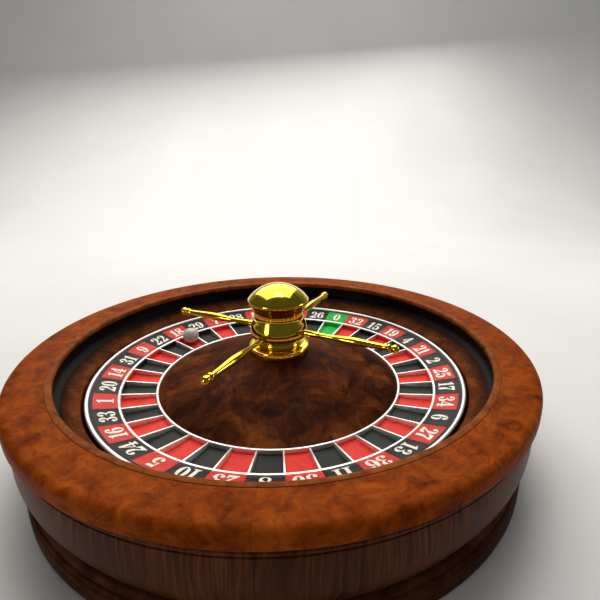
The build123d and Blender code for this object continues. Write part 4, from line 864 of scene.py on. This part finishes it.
neck_low, neck_high = corners("turret_lower_neck")
turret_piece("lower_neck", [
    (rod_radius, neck_high.z), (rod_radius, neck_low.z), (26.9, neck_low.z),
    *bend((26.9, neck_low.z), (24.6, neck_low.z + 0.6), (22.6, neck_low.z + 1.6), (22, neck_low.z + 3.8), 7),
    *bend((22, neck_low.z + 3.8), (21.9, neck_low.z + 5), (22.3, neck_high.z - 0.9), (23, neck_high.z), 5),
])

hub_low, hub_high = corners("turret_middle")
middle_radius = hub_high.x
bulge = hub_low.z + 7.5
turret_piece("middle", [
    (rod_radius, hub_high.z), (rod_radius, hub_low.z), (25, hub_low.z),
    *bend((25, hub_low.z), (27, hub_low.z + 1.2), (28, hub_low.z + 2.6), (28.8, hub_low.z + 4), 6),
    *bend((28.8, hub_low.z + 4), (29.5, hub_low.z + 5.4), (middle_radius, bulge - 1),
          (middle_radius, bulge), 6),
    *bend((middle_radius, bulge), (middle_radius, bulge + 3), (28.9, bulge + 7), (27.8, bulge + 10), 8),
    *bend((27.8, bulge + 10), (27.1, bulge + 12), (26.8, hub_high.z - 1.4), (26.4, hub_high.z), 6),
])

upper_low, upper_high = corners("turret_upper_neck")
turret_piece("upper_neck", [
    (rod_radius, upper_high.z), (rod_radius, upper_low.z), (25.4, upper_low.z),
    *bend((25.4, upper_low.z), (25, upper_low.z + 1.4), (24.8, upper_low.z + 3),
          (24.9, upper_low.z + 4.4), 5),
    *bend((24.9, upper_low.z + 4.4), (25, upper_low.z + 6.4), (25.3, upper_high.z - 1.4),
          (25.8, upper_high.z), 6),
])

collar_low, collar_high = corners("turret_collar")
dome_low, dome_high = corners("turret_dome")
dome_radius = dome_high.x
turret_piece("collar", [
    (rod_radius, collar_high.z), (rod_radius, collar_low.z), (27, collar_low.z),
    *bend((27, collar_low.z), (27.9, collar_low.z + 1.2), (28.9, collar_low.z + 3),
          (29.4, collar_high.z - 3), 6),
    *bend((29.4, collar_high.z - 3), (30.1, collar_high.z - 2), (30.8, collar_high.z - 1),
          (dome_radius - 0.2, collar_high.z), 5),
])

dome_sphere = 38.1
dome_centre = dome_high.z - dome_sphere
dome_bore = dome_high.z - 10
dome_spread = math.asin(dome_radius / dome_sphere)
DOME_RINGS = 26
dome_turns = [dome_spread * ring / DOME_RINGS for ring in range(DOME_RINGS, 0, -1)]
turret_piece("dome", [
    (0, dome_high.z), (0, dome_bore), (rod_radius, dome_bore), (rod_radius, dome_low.z),
    (dome_radius, dome_low.z),
    *((dome_sphere * math.sin(turn), dome_centre + dome_sphere * math.cos(turn)) for turn in dome_turns),
], [(4, 0.3), (5, 0.6)])

# ---- arms ----
# Four slender brass handles turned between centres: a seat against the middle, a thin waist,
# a swelling belly, a collar, and a ball tip screwed on. They spin the rotor by hand.
ARM_STEPS = 40
first_arm = math.radians(-25.0)
tip_low, tip_high = corners("arm_tips")
tip_radius = (tip_high.z - tip_low.z) / 2
arm_height = (tip_high.z + tip_low.z) / 2
arm_reach = 127.6
tip_centre = arm_reach - tip_radius
collar_at = tip_centre - tip_radius
arm_brass = polished_brass("arm_brass", axis_rings=False)


def turned_arm(outline, direction):
    """Spins an outline of (distance from the axis, thickness radius) about the arm's own line."""
    blank = bmesh.new()
    draw_line(blank, [(reach * MM, 0, (arm_height + thickness) * MM) for reach, thickness in outline])
    spin(blank, (0, 0, arm_height * MM), (1, 0, 0), TURN, ARM_STEPS)
    rotate(blank, direction)
    return blank


arm_outline = [
    (24, 0), (24, 3.0), (31.4, 3.0),
    *bend((31.4, 3.0), (35.5, 3.15), (38, 3.1), (42, 2.9), 6),
    *bend((42, 2.9), (47, 2.6), (50, 2.25), (55, 2.25), 6),
    *bend((55, 2.25), (62, 2.25), (65, 3.2), (71, 3.6), 8),
    *bend((71, 3.6), (77, 4.05), (82, 4.25), (86, 4.1), 8),
    *bend((86, 4.1), (95, 3.75), (101, 2.9), (collar_at - 3.8, 2.8), 10),
    *bend((collar_at - 3.8, 2.8), (collar_at - 3.2, 2.9), (collar_at - 3.2, 3.95), (collar_at - 2.2, 4.0), 5),
    *bend((collar_at - 2.2, 4.0), (collar_at - 0.9, 4.05), (collar_at - 0.4, 3.6), (collar_at + 0.2, 3.0), 5),
    (collar_at + 1.1, 2.8), (collar_at + 1.1, 0),
]
tip_turns = [step * TURN / 36 for step in range(3, 16)]
tip_outline = [
    (collar_at + 0.3, 0), (collar_at + 0.4, 1.6),
    *((tip_centre - tip_radius * math.cos(turn), tip_radius * math.sin(turn)) for turn in tip_turns),
    (tip_centre + tip_radius * 0.9, 1.6), (tip_centre + tip_radius * 0.98, 1.1), (arm_reach, 0),
]
all_tips = bmesh.new()
for number in range(4):
    direction = first_arm + number * TURN / 4
    make_piece(f"brass_arm_{number + 1}", turned_arm(arm_outline, direction), "rotor", arm_brass,
               "polished_brass", f"arm_{number + 1}")
    one_tip = bpy.data.meshes.new("one_tip")
    blank = turned_arm(tip_outline, direction)
    blank.to_mesh(one_tip)
    blank.free()
    all_tips.from_mesh(one_tip)
    bpy.data.meshes.remove(one_tip)
make_piece("brass_arm_tips", all_tips, "rotor", arm_brass, "polished_brass", "arm_tips")

# ---- ball ----
# Cast resin ball in the manner of ivory, polished, with faint clouding in the resin. It lies
# in the pocket of number eighteen.


def ivory_resin():
    """Warm grey-white resin, a little cloudy, with fine scuffs from the frets."""
    made, shader, place = new_material("ball_ivory")
    cloud = mottle(made, place, 190, 6, 0.6, 1.2)
    scuffs = mottle(made, place, 1400, 4, 0.7)
    colour_surface(made, shader, tint(made, cloud, [(0.3, 0.42, 0.39, 0.34), (0.7, 0.60, 0.57, 0.51)]),
                   level(made, scuffs, 0.35, 0.7, 0.22, 0.4))
    shader.inputs["Subsurface Weight"].default_value = 0.15
    shader.inputs["Subsurface Radius"].default_value = (0.004, 0.003, 0.002)
    shader.inputs["Coat Weight"].default_value = 0.3
    relief(made, shader, scuffs, 0.00003, 0.3)
    return made


ball_low, ball_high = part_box("ball")
ball_blank = bmesh.new()
bmesh.ops.create_uvsphere(ball_blank, u_segments=64, v_segments=32, radius=(ball_high.z - ball_low.z) / 2,
                          matrix=Matrix.Translation((ball_low + ball_high) / 2))
make_piece("ivory_ball", ball_blank, "ball", ivory_resin(), "ball_ivory", "ball")

# ---- floor, lights and camera ----
# A plain pale sheet under the wheel that sweeps up behind it, one large soft window of light
# behind, a lamp on the backdrop, a weak one at each side, and a camera over the near rim.
SHEET_WIDTH, SHEET_FRONT, SHEET_BACK, SHEET_BEND, SHEET_TOP = 8.0, -3.0, 2.6, 1.7, 3.4
sheet_turns = [step * TURN / 64 for step in range(1, 17)]
sheet_line = [(SHEET_FRONT, 0), (SHEET_BACK - SHEET_BEND, 0),
              *((SHEET_BACK - SHEET_BEND * (1 - math.sin(turn)), SHEET_BEND * (1 - math.cos(turn)))
                for turn in sheet_turns),
              (SHEET_BACK, SHEET_TOP)]
sheet_blank = bmesh.new()
left_edge, right_edge = (draw_line(sheet_blank, [(edge, depth, rise) for depth, rise in sheet_line])
                         for edge in (-SHEET_WIDTH / 2, SHEET_WIDTH / 2))
for near_left, far_left, near_right, far_right in zip(left_edge, left_edge[1:], right_edge, right_edge[1:]):
    sheet_blank.faces.new((near_left, near_right, far_right, far_left))
pale_paper, paper_shader, paper_place = new_material("pale_paper")
paper = mottle(pale_paper, paper_place, 3, 3)
paper_tint = tint(pale_paper, paper, [(0.3, 0.66, 0.65, 0.63), (0.7, 0.70, 0.69, 0.67)])
colour_surface(pale_paper, paper_shader, paper_tint, 0.8)
put_in_scene("studio_sheet", sheet_blank, pale_paper)

world = bpy.data.worlds.new("pale_studio")
scene.world = world
world.use_nodes = True
backdrop = world.node_tree.nodes["Background"]
backdrop.inputs["Color"].default_value = (0.80, 0.82, 0.85, 1)
backdrop.inputs["Strength"].default_value = 0.10


def soft_light(name, place, aim, size, power, colour=(1, 1, 1)):
    """A square soft box that faces the wheel."""
    lamp = bpy.data.lights.new(name, "AREA")
    lamp.shape = "SQUARE"
    lamp.size = size
    lamp.energy = power
    lamp.color = colour
    holder = bpy.data.objects.new(name, lamp)
    holder.location = place
    holder.rotation_euler = (Vector(aim) - Vector(place)).to_track_quat("-Z", "Y").to_euler()
    scene.collection.objects.link(holder)


soft_light("window_light", (-0.17, 1.06, 1.66), (0, 0, 0.1), 2.4, 50, (1, 0.97, 0.92))
soft_light("backdrop_light", (0, 0.6, 3.2), (0, 2.4, 0.6), 1.2, 34)
soft_light("left_light", (-1.3, -1.25, 0.42), (0, 0, 0.1), 0.45, 5)
soft_light("right_light", (1.4, 0.2, 0.5), (0, 0, 0.1), 0.4, 3)

CAMERA_PLACE = (0.03007, -0.43695, 0.29062)
CAMERA_DOWN = math.radians(17.5427)
lens = bpy.data.cameras.new("camera")
lens.lens = 26.97
lens.sensor_width = 36
lens.shift_x = -0.0125
lens.shift_y = -0.01333
lens.clip_start = 0.01
camera = bpy.data.objects.new("camera", lens)
camera.location = CAMERA_PLACE
camera.rotation_euler = (TURN / 4 - CAMERA_DOWN, 0, 0)
scene.collection.objects.link(camera)
scene.camera = camera
scene.view_settings.view_transform = "Standard"
